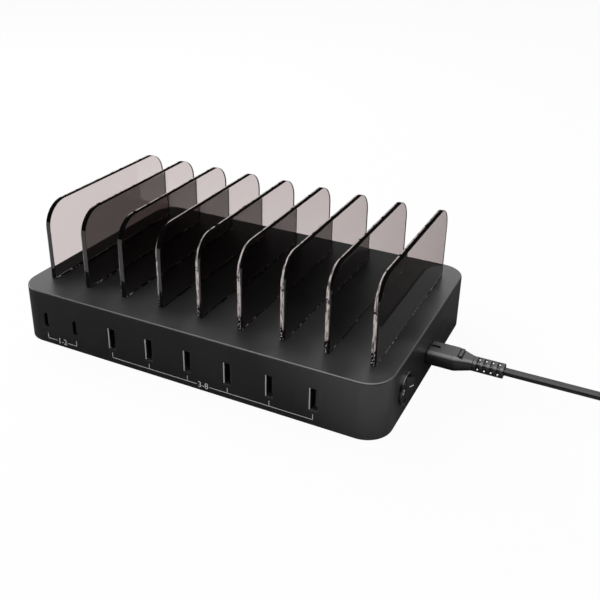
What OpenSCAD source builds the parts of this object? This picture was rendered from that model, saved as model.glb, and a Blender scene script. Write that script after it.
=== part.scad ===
// Device charging station: a flat mains-powered box with upright dividers
// for phones and tablets, eight sockets in its front and a plug-in lead.
// Millimetres. The origin is the middle of the footprint, on the surface
// that the feet stand on. +X is to the right, +Y to the back, +Z up.

/* [Body] */
// Width of the body, left to right
body_w = 220; // [212:1:300]
// Depth of the body, front to back
body_d = 140; // [134:1:200]
// Height of the body without its feet
body_h = 32; // [31:0.5:45]
// Radius of the four upright corners
corner_r = 14; // [6:0.5:20]
// Rounding along the rim of the top face
rim_r = 0.9; // [0.4:0.1:2]
// Thickness of the housing's side walls
wall = 2.5; // [1.8:0.1:3.2]
// Thickness of the housing's top
top_t = 2.5; // [1.8:0.1:3.2]
// Thickness of the base plate
base_t = 2.5; // [1.6:0.1:3]
// Height of the base plate's underside inside the housing's lower rim
base_recess = 0.6; // [0.2:0.1:1.2]
// Clearance between the base plate and the housing's walls
base_fit = 0.2; // [0.1:0.05:0.5]

/* [Feet and screws] */
// Height of the rubber feet below the body
foot_h = 1; // [0.5:0.1:3]
// Radius of a rubber foot
foot_r = 7; // [4:0.5:9]
// Depth of the pocket that a foot is glued into
foot_pocket = 0.8; // [0.4:0.1:1.2]
// Distance of a foot's centre from the body's sides
foot_inset = 24; // [20:1:34]
// Distance of a case screw's centre from the body's sides
boss_inset = 11; // [9.5:0.5:12]
// Radius of the housing's screw bosses
boss_r = 3.5; // [2.8:0.1:4]
// Radius of the case screws' threaded shanks
screw_r = 1.5; // [1:0.1:1.7]
// Radius of the case screws' heads
screw_head_r = 2.8; // [2.3:0.1:3.2]
// Height of the case screws' heads
screw_head_h = 1.4; // [0.8:0.1:1.5]
// Length of the case screws' shanks
screw_l = 10; // [6:0.5:16]

/* [Dividers] */
// Number of dividers
divider_n = 9; // [2:1:9]
// Distance of the outermost dividers' middles from the body's sides
divider_margin = 12.6; // [12:0.1:20]
// Thickness of a divider
divider_t = 3; // [2:0.1:4]
// Length of a divider, front to back
divider_l = 109.5; // [100:0.5:118]
// Height of a divider above the top face
divider_h = 45.2; // [30:0.2:90]
// Radius of a divider's two upper corners
divider_r = 14; // [4:0.5:22]
// Distance of the dividers' middle behind the body's middle
divider_y = 0.75; // [-2:0.25:4]
// Width of a divider's tabs
tab_w = 13; // [8:0.5:16]
// Depth that a tab reaches below the top face
tab_depth = 5; // [3.5:0.1:5.5]
// Distance of the front tab's middle from the divider's middle
tab_front = 32.75; // [24:0.25:38]
// Distance of the rear tab's middle from the divider's middle
tab_rear = 29.25; // [20:0.25:38]
// Clearance between a tab and its slot, on each side
tab_fit = 0.2; // [0.1:0.05:0.4]

/* [Sockets] */
// Height of the sockets' centres above the body's bottom
port_z = 14.7; // [13:0.1:16]
// Number of large sockets
usb_a_n = 6; // [1:1:6]
// Distance of the last large socket from the body's right side
usb_a_margin = 36.3; // [30:0.1:40]
// Distance of the first large socket from the last small one
usb_a_gap = 24.8; // [16:0.1:30]
// Width of a large socket's opening
usb_a_w = 5.2; // [5:0.05:5.8]
// Height of a large socket's opening
usb_a_h = 13; // [12.8:0.1:14]
// Number of small sockets
usb_c_n = 2; // [1:1:2]
// Distance of the first small socket from the body's left side
usb_c_margin = 18.9; // [17:0.1:24]
// Distance between the two small sockets
usb_c_pitch = 20; // [12:0.1:21]
// Width of a small socket's opening
usb_c_w = 3.2; // [3:0.05:3.6]
// Height of a small socket's opening
usb_c_h = 9; // [8.9:0.05:9.6]
// Clearance between a socket's shell and the opening in the housing
shell_fit = 0.05; // [0.03:0.01:0.1]
// Thickness of the sockets' sheet metal
shell_t = 0.25; // [0.2:0.01:0.3]
// Depth of the sockets' shells
shell_l = 13.5; // [12:0.1:15]
// Distance of the shells' mouths behind the front face
shell_recess = 0.3; // [0.1:0.05:0.8]

/* [Switch] */
// Distance of the switch's centre in front of the body's middle
switch_front = 41; // [36:0.5:43]
// Height of the switch's centre above the body's bottom
switch_z = 15.4; // [14:0.1:17]
// Radius of the switch's rim
bezel_r = 8.75; // [8.6:0.05:10]
// Height of the switch's rim above the wall
bezel_h = 1.5; // [1:0.1:2]
// Radius of the switch's body inside the wall
switch_r = 8; // [7.6:0.05:8.2]
// Depth of the switch's body behind the wall's outer face
switch_l = 13; // [11:0.5:16]
// Radius of the rocker's round outline
rocker_r = 6.4; // [5:0.1:6.5]
// Angle that the rocker tips to either side
rocker_tilt = 13; // [9:0.5:14]
// Distance that the rocker's raised half stands out from the wall
rocker_reach = 3.8; // [3.2:0.1:5]

/* [Mains inlet and connector] */
// Distance of the inlet's centre behind the body's middle
inlet_back = 0.5; // [-6:0.5:12]
// Height of the inlet's centre above the body's bottom
inlet_z = 12.9; // [12:0.1:15]
// Width of the connector's nose
nose_w = 13.7; // [13:0.1:14.4]
// Height of the connector's nose
nose_h = 7.7; // [7.2:0.1:8]
// Depth that the nose reaches behind the wall's outer face
nose_l = 12; // [10:0.5:14]
// Clearance round the nose in the inlet
nose_fit = 0.35; // [0.2:0.05:0.5]
// Wall of the inlet round its cavity
inlet_wall = 1.8; // [1.2:0.1:2.4]
// Radius of the inlet's contact pins
pin_r = 1.2; // [1:0.05:1.3]
// Distance between the inlet's contact pins
pin_pitch = 8.6; // [7.5:0.1:9]
// Length of a contact pin inside the cavity
pin_l = 8.5; // [6:0.5:9]
// Width of the connector's grip
grip_w = 15.4; // [15:0.1:17]
// Height of the connector's grip
grip_h = 8.6; // [8.2:0.1:10]
// Length of the connector's grip
grip_l = 15; // [12:0.5:24]
// Length of the connector's tapered shoulder
shoulder_l = 9; // [6:0.5:14]
// Length of the ribbed boot
boot_l = 16.3; // [14:0.1:30]
// Number of ribs on the boot
rib_n = 5; // [3:1:6]

/* [Lead] */
// Width of the flat twin cord
cord_w = 5.4; // [5:0.1:6]
// Thickness of the flat twin cord
cord_t = 3.1; // [2.6:0.1:3.2]
// Radius of the coil at its outer turn, to the middle of the cord
coil_r = 36; // [34:0.5:42]
// Distance from one turn to the next, to the middle of the cord
coil_pitch = 3.8; // [3.8:0.05:4.2]
// Width of the mains plug's body, which stands on its narrow side
plug_w = 21; // [20:0.5:28]
// Thickness of the mains plug's body
plug_t = 16; // [14:0.5:20]
// Length of the mains plug's body
plug_l = 21; // [18:0.5:30]
// Length of the mains plug's strain relief
relief_l = 20; // [20:0.5:40]
// Distance between the plug's blades
blade_pitch = 12.7; // [11:0.1:14]
// Width of a blade
blade_w = 6.35; // [5.5:0.05:7]
// Thickness of a blade
blade_t = 1.5; // [1.2:0.05:2]
// Length of a blade outside the plug's body
blade_l = 17; // [14:0.5:19]

/* [Circuit boards] */
// Thickness of the circuit boards
board_t = 1.6; // [1:0.1:2]
// Height of the main board above the base plate
board_lift = 4; // [3:0.5:5]
// Distance of the main board from the inside of the left wall
board_left_gap = 17.5; // [8:0.5:24]
// Distance of the main board from the inside of the right wall
board_right_gap = 25.5; // [25:0.5:30]
// Distance of the main board from the inside of the rear wall
board_rear_gap = 8; // [3:0.5:14]
// Distance of the board screws' centres from the board's edges
post_inset = 5; // [4:0.5:6]
// Radius of the posts under the main board
post_r = 3; // [2.2:0.1:3.6]
// Radius of the board screws' shanks
board_screw_r = 1.1; // [0.8:0.05:1.2]
// Gap under the upright port board
port_board_lift = 0.4; // [0.2:0.1:0.8]
// Gap between the upright port board and the housing's top
port_board_head = 1; // [0.5:0.1:2]

/* [Hidden] */
$fn = 48;
// Length by which a cut runs past the surface that it opens
cut = 1;

// The rocker stands out on one side only, so the body lies half that far to the left
frame_x = -rocker_reach / 2;
left = -body_w / 2;
right = body_w / 2;
front = -body_d / 2;
back = body_d / 2;
in_left = left + wall;
in_right = right - wall;
in_back = back - wall;
ceiling = body_h - top_t;
base_top = base_recess + base_t;
thread_fit = 0.05;
hole_fit = 0.2;
// Keeps a slab's flat sides from vanishing where it is round from corner to corner
flat_rest = 0.01;

// The dividers and the large sockets are spread evenly over what their margins leave
divider_pitch = (body_w - 2 * divider_margin) / (divider_n - 1);
usb_c_x = [for (k = [1:usb_c_n]) left + usb_c_margin + (k - 1) * usb_c_pitch];
usb_a_start = usb_c_x[usb_c_n - 1] + usb_a_gap;
usb_a_pitch = (right - usb_a_margin - usb_a_start) / max(usb_a_n - 1, 1);
usb_a_x = [for (k = [1:usb_a_n]) usb_a_start + (k - 1) * usb_a_pitch];
shell_mouth = front + shell_recess;
shell_end = shell_mouth + shell_l;
insulator_l = 3;
usb_a_tongue_t = 1.8;
usb_a_tongue_recess = 2.5;
usb_a_tongue_gap = 0.5;
usb_c_tongue_t = 0.7;
usb_c_tongue_recess = 0.9;
tongue_side_gap = 0.6;

switch_y = -switch_front;
switch_end = right - switch_l;
pivot_depth = 0.2;
pocket_r = rocker_r + 0.6;
pocket_depth = 5.5;
switch_fit = 0.1;
// Height of the rocker's tips and of its middle line above the pivot, untipped
tip_v = (rocker_reach + pivot_depth - rocker_r * sin(rocker_tilt)) / cos(rocker_tilt);
ridge_v = tip_v - rocker_r * tan(rocker_tilt);
rocker_root = 3.2;
rocker_root_w = 5;
pivot_r = 0.7;
pivot_fit = 0.08;
terminal_w = 4.8;
terminal_t = 0.8;
terminal_l = 8;
terminal_z = 3.5;

inlet_y = inlet_back;
cavity_w = nose_w + 2 * nose_fit;
cavity_h = nose_h + 2 * nose_fit;
cavity_r = cavity_h / 2 - 0.1;
inlet_floor = 2;
cavity_end = right - nose_l - 0.5;
inlet_end = cavity_end - inlet_floor;
pin_tail_l = 5;
tail_end = inlet_end - pin_tail_l;
seat_gap = 0.2;
grip_r = 3.3;
boot_w = 9;
boot_h = 6;
boot_r = 2.4;
boot_core_w = 7.4;
boot_core_h = 4.9;
rib_l = 2.2;
shoulder_start = right + grip_l;
boot_start = shoulder_start + shoulder_l;
// Oval dent in the grip's top: length, width, depth and distance from the wall
notch = [5, 3, 0.6];
notch_x = 4.5;
// Raised bar across the grip's top: length and height
ridge = [1.4, 0.8];

port_board_y = shell_end;
port_board_left = usb_c_x[0] - 3;
port_board_right = usb_a_x[usb_a_n - 1] + 16;
guide_size = [8, 1.5, 3];
guide_inset = 24;
guide_fit = 0.1;
header_size = [70, 4, 2.5];
header_way = 5;
header_slot = 0.8;
main_z = base_top + board_lift;
main_top = main_z + board_t;
main_left = in_left + board_left_gap;
main_right = in_right - board_right_gap;
main_front = port_board_y + board_t + 1;
main_back = in_back - board_rear_gap;

function corners(x, y) = [for (sx = [-1, 1], sy = [-1, 1]) [sx * x, sy * y]];
foot_at = corners(right - foot_inset, back - foot_inset);
boss_at = corners(right - boss_inset, back - boss_inset);
post_at = [
    for (x = [main_left + post_inset, main_right - post_inset],
         y = [main_front + post_inset, main_back - post_inset]) [x, y]
];

// Sizes of the parts on the main board: width, depth, height; and their places
fuse_r = 2.5;
fuse_l = 20;
fuse_at = [main_right - 12, 30];
choke_r = 8;
choke_wire_r = 4;
choke_at = [58, -22];
filter_capacitor_size = [8.5, 18, 14];
filter_capacitor_at = [52, 8];
rectifier_size = [3.8, 20, 12];
rectifier_at = [52, 32];
bulk_r = 8;
bulk_l = 30;
bulk_at = [34, 30];
core_size = [34, 14, 15];
core_leg = 8;
core_yoke = 4.5;
core_window = (core_size.x - core_leg - 2 * core_yoke) / 2;
coil_fit = 0.1;
transformer_at = [0, 26];
sink_size = [2.5, 36, 15];
fin_l = 6;
fin_t = 1.2;
fin_pitch = 6;
primary_sink_at = [34, -24];
secondary_sink_at = [-34, 22];
transistor_size = [4.5, 10, 14];
output_rows = [-14, 4, 22, 40];
output_capacitor_r = 4;
output_capacitor_h = 13;
output_capacitor_x = -52;
inductor_size = [9, 9, 6];
inductor_x = -70;
chip_size = [6, 5, 1.4];
chip_first = -60;
chip_pitch = 16;
chip_n = 5;
chip_y = -38;
wire_r = 0.9;
// The wires' bends are a little thicker than their straight parts
wire_bend_r = 1;

// The coil and the plug lie on the floor to the right of the stand
exit = [frame_x + boot_start + boot_l, inlet_y, foot_h + inlet_z];
level_l = 47.6;
fall_l = 64;
fall_steps = 8;
settle_l = 16;
settle_steps = [11, 6];
cord_sides = 12;
coil_sides = 6;
coil_low = cord_w / 2 + 0.6;
coil_mid = [exit.x + level_l + fall_l + settle_l, exit.y + coil_r];
layer_turns = 3.75;
layer_gap = 0.5;
coil_high = coil_low + cord_w + layer_gap;
loop_steps = 24;
coil_steps = 2 * layer_turns * loop_steps;
tail_y = coil_mid.y + coil_r;
plug_top_x = coil_mid.x - 24;
plug_r = 3;
relief_big = [10, 12];
relief_small = [4.7, 7];
relief_r = 2.3;
plug_back = plug_top_x - relief_l;
plug_face = plug_back - plug_l;
tie_w = 8;
tie_t = 0.5;
tie_gap = 0.5;
tie_r = 2;

// A smooth change from 0 to 1
function ease(s) = s * s * (3 - 2 * s);
// The cord's free stretch from the boot to the coil: x, y, z and its turn
// about its own run, in which 0 lies flat and 90 stands on edge
cord_route = concat(
    [for (s = [0 : 0.2 : 0.99]) [exit.x + level_l * s, exit.y, exit.z, 0]],
    [for (k = [0:fall_steps]) let(s = k / fall_steps)
        [exit.x + level_l + fall_l * s, exit.y, exit.z + (coil_low - exit.z) * ease(s), 90 * ease(s)]],
    [for (x = settle_steps) [coil_mid.x - x, exit.y, coil_low, 90]]
);
// The coil's end runs to the left and up to the middle of the plug
tail_route = concat(
    [for (s = [0 : 0.25 : 1])
        [coil_mid.x - 6 - 12 * s, tail_y, coil_high + (plug_w / 2 - coil_high) * ease(s), 90]],
    [for (x = [3, 0]) [plug_top_x + x, tail_y, plug_w / 2, 90]]
);

// Everything but the lead's free part is drawn round the body's middle
module stand() {
    translate([frame_x, 0, foot_h]) children();
}

// A slab with upright round corners
module slab(w, d, h, r) {
    translate([-w / 2 + r, -d / 2, 0]) cube([w - 2 * r, d, h]);
    translate([-w / 2, -d / 2 + r, 0]) cube([w, d - 2 * r, h]);
    for (p = corners(w / 2 - r, d / 2 - r)) translate(p) cylinder(r = r, h = h);
}

// The same section laid along X, from x = 0
module bar(w, h, l, r) {
    rotate([90, 0, 90]) slab(w, h, l, r);
}

// The section of the housing's rim: its outer end at x, its top at body_h
function rim_section(x) = concat(
    [[0, 0], [x, 0]],
    [for (a = [0:15:90]) [x - rim_r + rim_r * cos(a), body_h - rim_r + rim_r * sin(a)]],
    [[0, body_h]]
);

// The same section on both sides of the middle
module rim_band(x, l) {
    translate([0, l / 2, 0]) rotate([90, 0, 0]) linear_extrude(l) {
        polygon(rim_section(x));
        mirror([1, 0]) polygon(rim_section(x));
    }
}

module housing_blank() {
    rim_band(right, body_d - 2 * corner_r);
    rotate([0, 0, 90]) rim_band(back, body_w - 2 * corner_r);
    for (p = corners(right - corner_r, back - corner_r))
        translate(p) rotate_extrude($fn = 96) polygon(rim_section(corner_r));
}

// An upright slot through the front wall, square or with round ends
module front_slot(x, w, h, round_r) {
    translate([x, front - cut, port_z]) rotate([-90, 0, 0])
        if (round_r > 0) slab(w, h, wall + 2 * cut, round_r);
        else translate([-w / 2, -h / 2, 0]) cube([w, h, wall + 2 * cut]);
}

module tab_slots() {
    for (k = [1:divider_n], y = [-tab_front, tab_rear])
        translate([divider_x(k), divider_y + y, ceiling - cut])
            translate([-divider_t / 2 - tab_fit, -tab_w / 2 - tab_fit, 0])
                cube([divider_t + 2 * tab_fit, tab_w + 2 * tab_fit, top_t + 2 * cut]);
}

module top_housing() {
    color("#2b2b2d") stand() difference() {
        union() {
            difference() {
                housing_blank();
                translate([0, 0, -cut])
                    slab(body_w - 2 * wall, body_d - 2 * wall, ceiling + cut, corner_r - wall);
            }
            for (p = boss_at) translate([p.x, p.y, base_top])
                cylinder(r = boss_r, h = ceiling - base_top + cut / 2);
        }
        for (p = boss_at) translate([p.x, p.y, base_top - cut])
            cylinder(r = screw_r + thread_fit, h = screw_l + cut);
        for (x = usb_a_x) front_slot(x, usb_a_w, usb_a_h, 0);
        for (x = usb_c_x) front_slot(x, usb_c_w, usb_c_h, usb_c_w / 2 - flat_rest);
        tab_slots();
        translate([in_right - cut, switch_y, switch_z]) rotate([0, 90, 0])
            cylinder(r = switch_r + switch_fit, h = wall + 2 * cut);
        translate([in_right - cut, inlet_y, inlet_z])
            bar(cavity_w, cavity_h, wall + 2 * cut, cavity_r);
    }
}

// Two grooved blocks hold the port board's lower edge
module card_guides() {
    for (x = [port_board_left + guide_inset, port_board_right - guide_inset])
        translate([x - guide_size.x / 2, port_board_y, base_top]) difference() {
            translate([0, -guide_size.y, -cut / 2])
                cube([guide_size.x, board_t + 2 * guide_size.y, guide_size.z + cut / 2]);
            translate([-cut, -guide_fit, port_board_lift - guide_fit])
                cube([guide_size.x + 2 * cut, board_t + 2 * guide_fit, guide_size.z + cut]);
        }
}

module base_plate() {
    inset = 2 * (wall + base_fit);
    color("#262628") stand() difference() {
        union() {
            translate([0, 0, base_recess])
                slab(body_w - inset, body_d - inset, base_t, corner_r - wall - base_fit);
            for (p = post_at) translate([p.x, p.y, base_top - cut / 2])
                cylinder(r = post_r, h = board_lift + cut / 2);
            card_guides();
        }
        for (p = post_at) translate([p.x, p.y, base_top + 0.5])
            cylinder(r = board_screw_r + thread_fit, h = board_lift + cut);
        for (p = boss_at) translate([p.x, p.y, base_recess - cut]) {
            cylinder(r = screw_r + hole_fit, h = base_t + 2 * cut);
            cylinder(r = screw_head_r + hole_fit, h = screw_head_h + cut);
        }
        for (p = foot_at) translate([p.x, p.y, base_recess - cut])
            cylinder(r = foot_r, h = foot_pocket + cut);
    }
}

module rubber_feet() {
    color("#1c1c1c") stand() for (p = foot_at)
        translate([p.x, p.y, -foot_h])
            cylinder(r = foot_r, h = foot_h + base_recess + foot_pocket);
}

// A pan-head screw standing on its head, with a cross recess
module screw(head_r, head_h, shank_r, shank_l) {
    recess = [1.2 * head_r, 0.7, 0.6 * head_h];
    difference() {
        union() {
            cylinder(r = head_r, h = head_h);
            cylinder(r = shank_r, h = head_h + shank_l);
        }
        for (a = [0, 90]) rotate([0, 0, a])
            translate([-recess.x / 2, -recess.y / 2, -cut])
                cube([recess.x, recess.y, cut + recess.z]);
    }
}

module base_screws() {
    color("#9a9a9e") stand() for (p = boss_at)
        translate([p.x, p.y, base_recess]) screw(screw_head_r, screw_head_h, screw_r, screw_l);
}

function divider_x(k) = (k - (divider_n + 1) / 2) * divider_pitch;

// A thin plate of smoked acrylic; its two tabs drop into the top face
module divider(k) {
    color("#4a4446", 0.6) stand() translate([divider_x(k) - divider_t / 2, divider_y, body_h])
        rotate([90, 0, 90]) linear_extrude(divider_t) {
            translate([-divider_l / 2, 0]) square([divider_l, divider_h - divider_r]);
            translate([-divider_l / 2 + divider_r, 0])
                square([divider_l - 2 * divider_r, divider_h]);
            for (y = [-1, 1])
                translate([y * (divider_l / 2 - divider_r), divider_h - divider_r])
                    circle(r = divider_r, $fn = 96);
            for (y = [-tab_front, tab_rear])
                translate([y - tab_w / 2, -tab_depth]) square([tab_w, tab_depth + cut]);
        }
}

// A rectangular shell with both ends open, its mouth at y = 0, running back
module usb_a_shell(x) {
    w = usb_a_w - 2 * shell_fit;
    h = usb_a_h - 2 * shell_fit;
    color("#b9b9bd") stand() translate([x, shell_mouth, port_z]) difference() {
        translate([-w / 2, 0, -h / 2]) cube([w, shell_l, h]);
        translate([-w / 2 + shell_t, -cut, -h / 2 + shell_t])
            cube([w - 2 * shell_t, shell_l + 2 * cut, h - 2 * shell_t]);
    }
}

// The insulator at the back of a large socket, with its blade towards the right
module usb_a_tongue(x) {
    w = usb_a_w - 2 * (shell_fit + shell_t);
    h = usb_a_h - 2 * (shell_fit + shell_t);
    blade_h = h - 2 * tongue_side_gap;
    color("#1a1a1c") stand() translate([x, shell_mouth, port_z]) {
        translate([-w / 2, shell_l - insulator_l, -h / 2]) cube([w, insulator_l, h]);
        translate([w / 2 - usb_a_tongue_gap - usb_a_tongue_t, usb_a_tongue_recess, -blade_h / 2])
            cube([usb_a_tongue_t, shell_l - usb_a_tongue_recess, blade_h]);
    }
}

module usb_c_shell(x) {
    w = usb_c_w - 2 * shell_fit;
    h = usb_c_h - 2 * shell_fit;
    color("#b9b9bd") stand() translate([x, shell_mouth, port_z]) rotate([-90, 0, 0])
        difference() {
            slab(w, h, shell_l, w / 2 - flat_rest);
            translate([0, 0, -cut]) slab(w - 2 * shell_t, h - 2 * shell_t,
                shell_l + 2 * cut, w / 2 - shell_t - flat_rest);
        }
}

module usb_c_tongue(x) {
    w = usb_c_w - 2 * (shell_fit + shell_t);
    h = usb_c_h - 2 * (shell_fit + shell_t);
    blade_h = h - 2 * tongue_side_gap - w / 5;
    color("#1a1a1c") stand() translate([x, shell_mouth, port_z]) {
        translate([0, shell_l - insulator_l, 0]) rotate([-90, 0, 0])
            slab(w, h, insulator_l, w / 2 - flat_rest);
        translate([-usb_c_tongue_t / 2, usb_c_tongue_recess, -blade_h / 2])
            cube([usb_c_tongue_t, shell_l - usb_c_tongue_recess, blade_h]);
    }
}

// Stands behind the sockets, which are soldered to its front
module port_board() {
    low = base_top + port_board_lift;
    color("#1f4a34") stand() translate([port_board_left, port_board_y, low])
        cube([port_board_right - port_board_left, board_t, ceiling - port_board_head - low]);
}

// Joins the two boards at a right angle, with a row of slots for its contacts
module board_header() {
    color("#d8d4c4") stand() translate([0, port_board_y + board_t, main_top]) difference() {
        translate([-header_size.x / 2, 0, 0]) cube(header_size);
        for (x = [-header_size.x / 2 + header_way : header_way : header_size.x / 2 - header_way])
            translate([x - header_slot / 2, header_size.y / 2, header_slot])
                cube([header_slot, header_size.y, header_size.z]);
    }
}

module main_board() {
    color("#1f4a34") stand() difference() {
        translate([main_left, main_front, main_z])
            cube([main_right - main_left, main_back - main_front, board_t]);
        for (p = post_at) translate([p.x, p.y, main_z - cut])
            cylinder(r = board_screw_r + hole_fit, h = board_t + 2 * cut);
    }
}

module board_screws() {
    head_r = 2.1;
    head_h = 1.2;
    spare = 0.8;
    color("#9a9a9e") stand() for (p = post_at)
        translate([p.x, p.y, main_top + head_h]) rotate([180, 0, 0])
            screw(head_r, head_h, board_screw_r, board_t + board_lift - spare);
}

// The round switch: a rim on the wall's face and a body that passes through it
module switch_body() {
    color("#18181a") stand() translate([right, switch_y, switch_z]) rotate([0, 90, 0])
        difference() {
            union() {
                cylinder(r = bezel_r, h = bezel_h);
                translate([0, 0, -switch_l]) cylinder(r = switch_r, h = switch_l + cut / 2);
            }
            translate([0, 0, -pocket_depth]) cylinder(r = pocket_r, h = pocket_depth + 2 * bezel_h);
            // The rocker's pivot pins turn in these holes
            translate([0, 0, -pivot_depth]) rotate([0, 90, 0])
                cylinder(r = pivot_r + pivot_fit, h = 2 * (switch_r - switch_fit), center = true, $fn = 24);
        }
}

// A round cap with two flats that meet in a shallow V, tipped to its rear stop
module switch_rocker() {
    reach = rocker_r + cut;
    reach_v = tip_v + cut * tan(rocker_tilt);
    color("#101012") stand()
        translate([right - pivot_depth, switch_y, switch_z]) rotate([0, 0, -rocker_tilt]) {
            intersection() {
                translate([0, 0, -reach]) linear_extrude(2 * reach) polygon([
                    [ridge_v, 0], [reach_v, reach], [-rocker_root, rocker_root_w],
                    [-rocker_root, -rocker_root_w], [reach_v, -reach]
                ]);
                rotate([0, 90, 0])
                    cylinder(r = rocker_r, h = 4 * rocker_r, center = true, $fn = 96);
            }
            cylinder(r = pivot_r, h = 2 * (switch_r - hole_fit), center = true, $fn = 24);
        }
}

module switch_terminals() {
    color("#b5a46a") stand() for (z = [-terminal_z, terminal_z])
        translate([switch_end - terminal_l, switch_y - terminal_w / 2,
                   switch_z + z - terminal_t / 2])
            cube([terminal_l, terminal_w, terminal_t]);
}

// A block behind the right wall, hollow towards the wall's opening
module inlet_body() {
    color("#202022") stand() difference() {
        translate([inlet_end, inlet_y, inlet_z])
            bar(cavity_w + 2 * inlet_wall, cavity_h + 2 * inlet_wall,
                in_right - inlet_end, cavity_r);
        translate([cavity_end, inlet_y, inlet_z])
            bar(cavity_w, cavity_h, in_right - cavity_end + cut, cavity_r);
        for (y = [-1, 1]) translate([inlet_end - cut, inlet_y + y * pin_pitch / 2, inlet_z])
            rotate([0, 90, 0]) cylinder(r = pin_r + thread_fit, h = inlet_floor + 2 * cut);
    }
}

module inlet_pins() {
    color("#c9a75a") stand() for (y = [-1, 1])
        translate([tail_end, inlet_y + y * pin_pitch / 2, inlet_z]) rotate([0, 90, 0])
            cylinder(r = pin_r, h = cavity_end + pin_l - tail_end);
}

// A round rod from a to b
module rod(a, b, r) {
    d = b - a;
    translate(a) rotate([0, acos(d.z / norm(d)), atan2(d.y, d.x)])
        cylinder(r = r, h = norm(d), $fn = 24);
}

module wire(points) {
    for (k = [1:len(points) - 1]) rod(points[k - 1], points[k], wire_r);
    for (k = [1:len(points) - 2]) translate(points[k]) sphere(r = wire_bend_r, $fn = 24);
}

// Inlet to board, inlet to switch and switch to board
module line_wires() {
    landing = main_right - 3;
    terminal_end = switch_end - terminal_l;
    turn_x = min(tail_end, terminal_end) - 4;
    right_pin = inlet_y - pin_pitch / 2;
    left_pin = inlet_y + pin_pitch / 2;
    color("#7a2a24") stand() {
        wire([[tail_end, left_pin, inlet_z], [landing, left_pin, inlet_z],
              [landing, left_pin, main_top]]);
        wire([[tail_end, right_pin, inlet_z], [turn_x, right_pin, inlet_z],
              [turn_x, switch_y, switch_z + terminal_z],
              [terminal_end, switch_y, switch_z + terminal_z]]);
        wire([[terminal_end, switch_y, switch_z - terminal_z],
              [landing, switch_y, switch_z - terminal_z],
              [landing, switch_y, main_top]]);
    }
}

// A part of the supply, standing on the main board
module on_board(at) {
    stand() translate([at.x, at.y, main_top]) children();
}

module block(size) {
    translate([-size.x / 2, -size.y / 2, 0]) cube(size);
}

module fuse() {
    cap_l = fuse_l / 4;
    clip = [4, cap_l - 1, 3];
    color("#cfd3d2") on_board(fuse_at) {
        translate([0, fuse_l / 2, fuse_r + 1]) rotate([90, 0, 0]) {
            cylinder(r = fuse_r - 0.3, h = fuse_l);
            for (z = [0, fuse_l - cap_l]) translate([0, 0, z]) cylinder(r = fuse_r, h = cap_l);
        }
        for (y = [-1, 1]) translate([0, y * (fuse_l - cap_l) / 2, 0]) block(clip);
    }
}

// A ring core with its winding, on a round foot
module line_choke() {
    foot = [choke_r + 2, 2];
    color("#a8652c") on_board(choke_at) {
        translate([0, 0, choke_wire_r + 0.8])
            rotate_extrude() translate([choke_r, 0]) circle(r = choke_wire_r);
        cylinder(r = foot.x, h = foot.y);
    }
}

module line_filter_capacitor() {
    color("#c8a83a") on_board(filter_capacitor_at) block(filter_capacitor_size);
}

module bridge_rectifier() {
    color("#222224") on_board(rectifier_at) block(rectifier_size);
}

// A can that lies on a narrow pad
module bulk_capacitor() {
    pad = [bulk_r, bulk_l - 6, 2];
    color("#23304a") on_board(bulk_at) {
        translate([0, bulk_l / 2, bulk_r]) rotate([90, 0, 0]) cylinder(r = bulk_r, h = bulk_l);
        block(pad);
    }
}

// Two E-shaped halves round the winding
module transformer_core() {
    window = [core_window, core_size.y + 2 * cut, core_size.z - core_yoke];
    color("#3a3a3c") on_board(transformer_at) difference() {
        block(core_size);
        for (x = [-1, 1]) translate([x * (core_leg + core_window) / 2, 0, core_yoke / 2]) block(window);
    }
}

module transformer_coil() {
    hole = core_leg + 2 * coil_fit;
    wound = core_window - coil_fit;
    h = core_size.z - core_yoke - 2 * coil_fit;
    color("#c9b23a") on_board(transformer_at) translate([0, 0, core_yoke / 2]) difference() {
        slab(core_leg + 2 * wound, core_size.y + 2 * wound, h, 3);
        translate([0, 0, -cut]) block([hole, hole + core_size.y - core_leg, h + 2 * cut]);
    }
}

// An upright aluminium plate along Y with fins on one side
module heat_sink(side) {
    block(sink_size);
    for (y = [-sink_size.y / 2 : fin_pitch : sink_size.y / 2 - fin_t])
        translate([side > 0 ? 0 : -fin_l - sink_size.x / 2, y, 0])
            cube([fin_l + sink_size.x / 2, fin_t, sink_size.z]);
}

module primary_heat_sink() {
    color("#b4b6b8") on_board(primary_sink_at) heat_sink(-1);
}

module power_transistor() {
    color("#19191b") on_board(primary_sink_at)
        translate([(sink_size.x + transistor_size.x) / 2, 0, 0]) block(transistor_size);
}

module secondary_heat_sink() {
    color("#b4b6b8") on_board(secondary_sink_at) heat_sink(1);
}

module output_capacitors() {
    color("#2c4a6e") for (y = output_rows)
        on_board([output_capacitor_x, y]) cylinder(r = output_capacitor_r, h = output_capacitor_h);
}

module output_inductors() {
    color("#4a4a4c") for (y = output_rows) on_board([inductor_x, y]) block(inductor_size);
}

// One small chip for each pair of charging outputs
module charge_controllers() {
    color("#141416") for (k = [0:chip_n - 1])
        on_board([chip_first + k * chip_pitch, chip_y]) block(chip_size);
}

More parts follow.
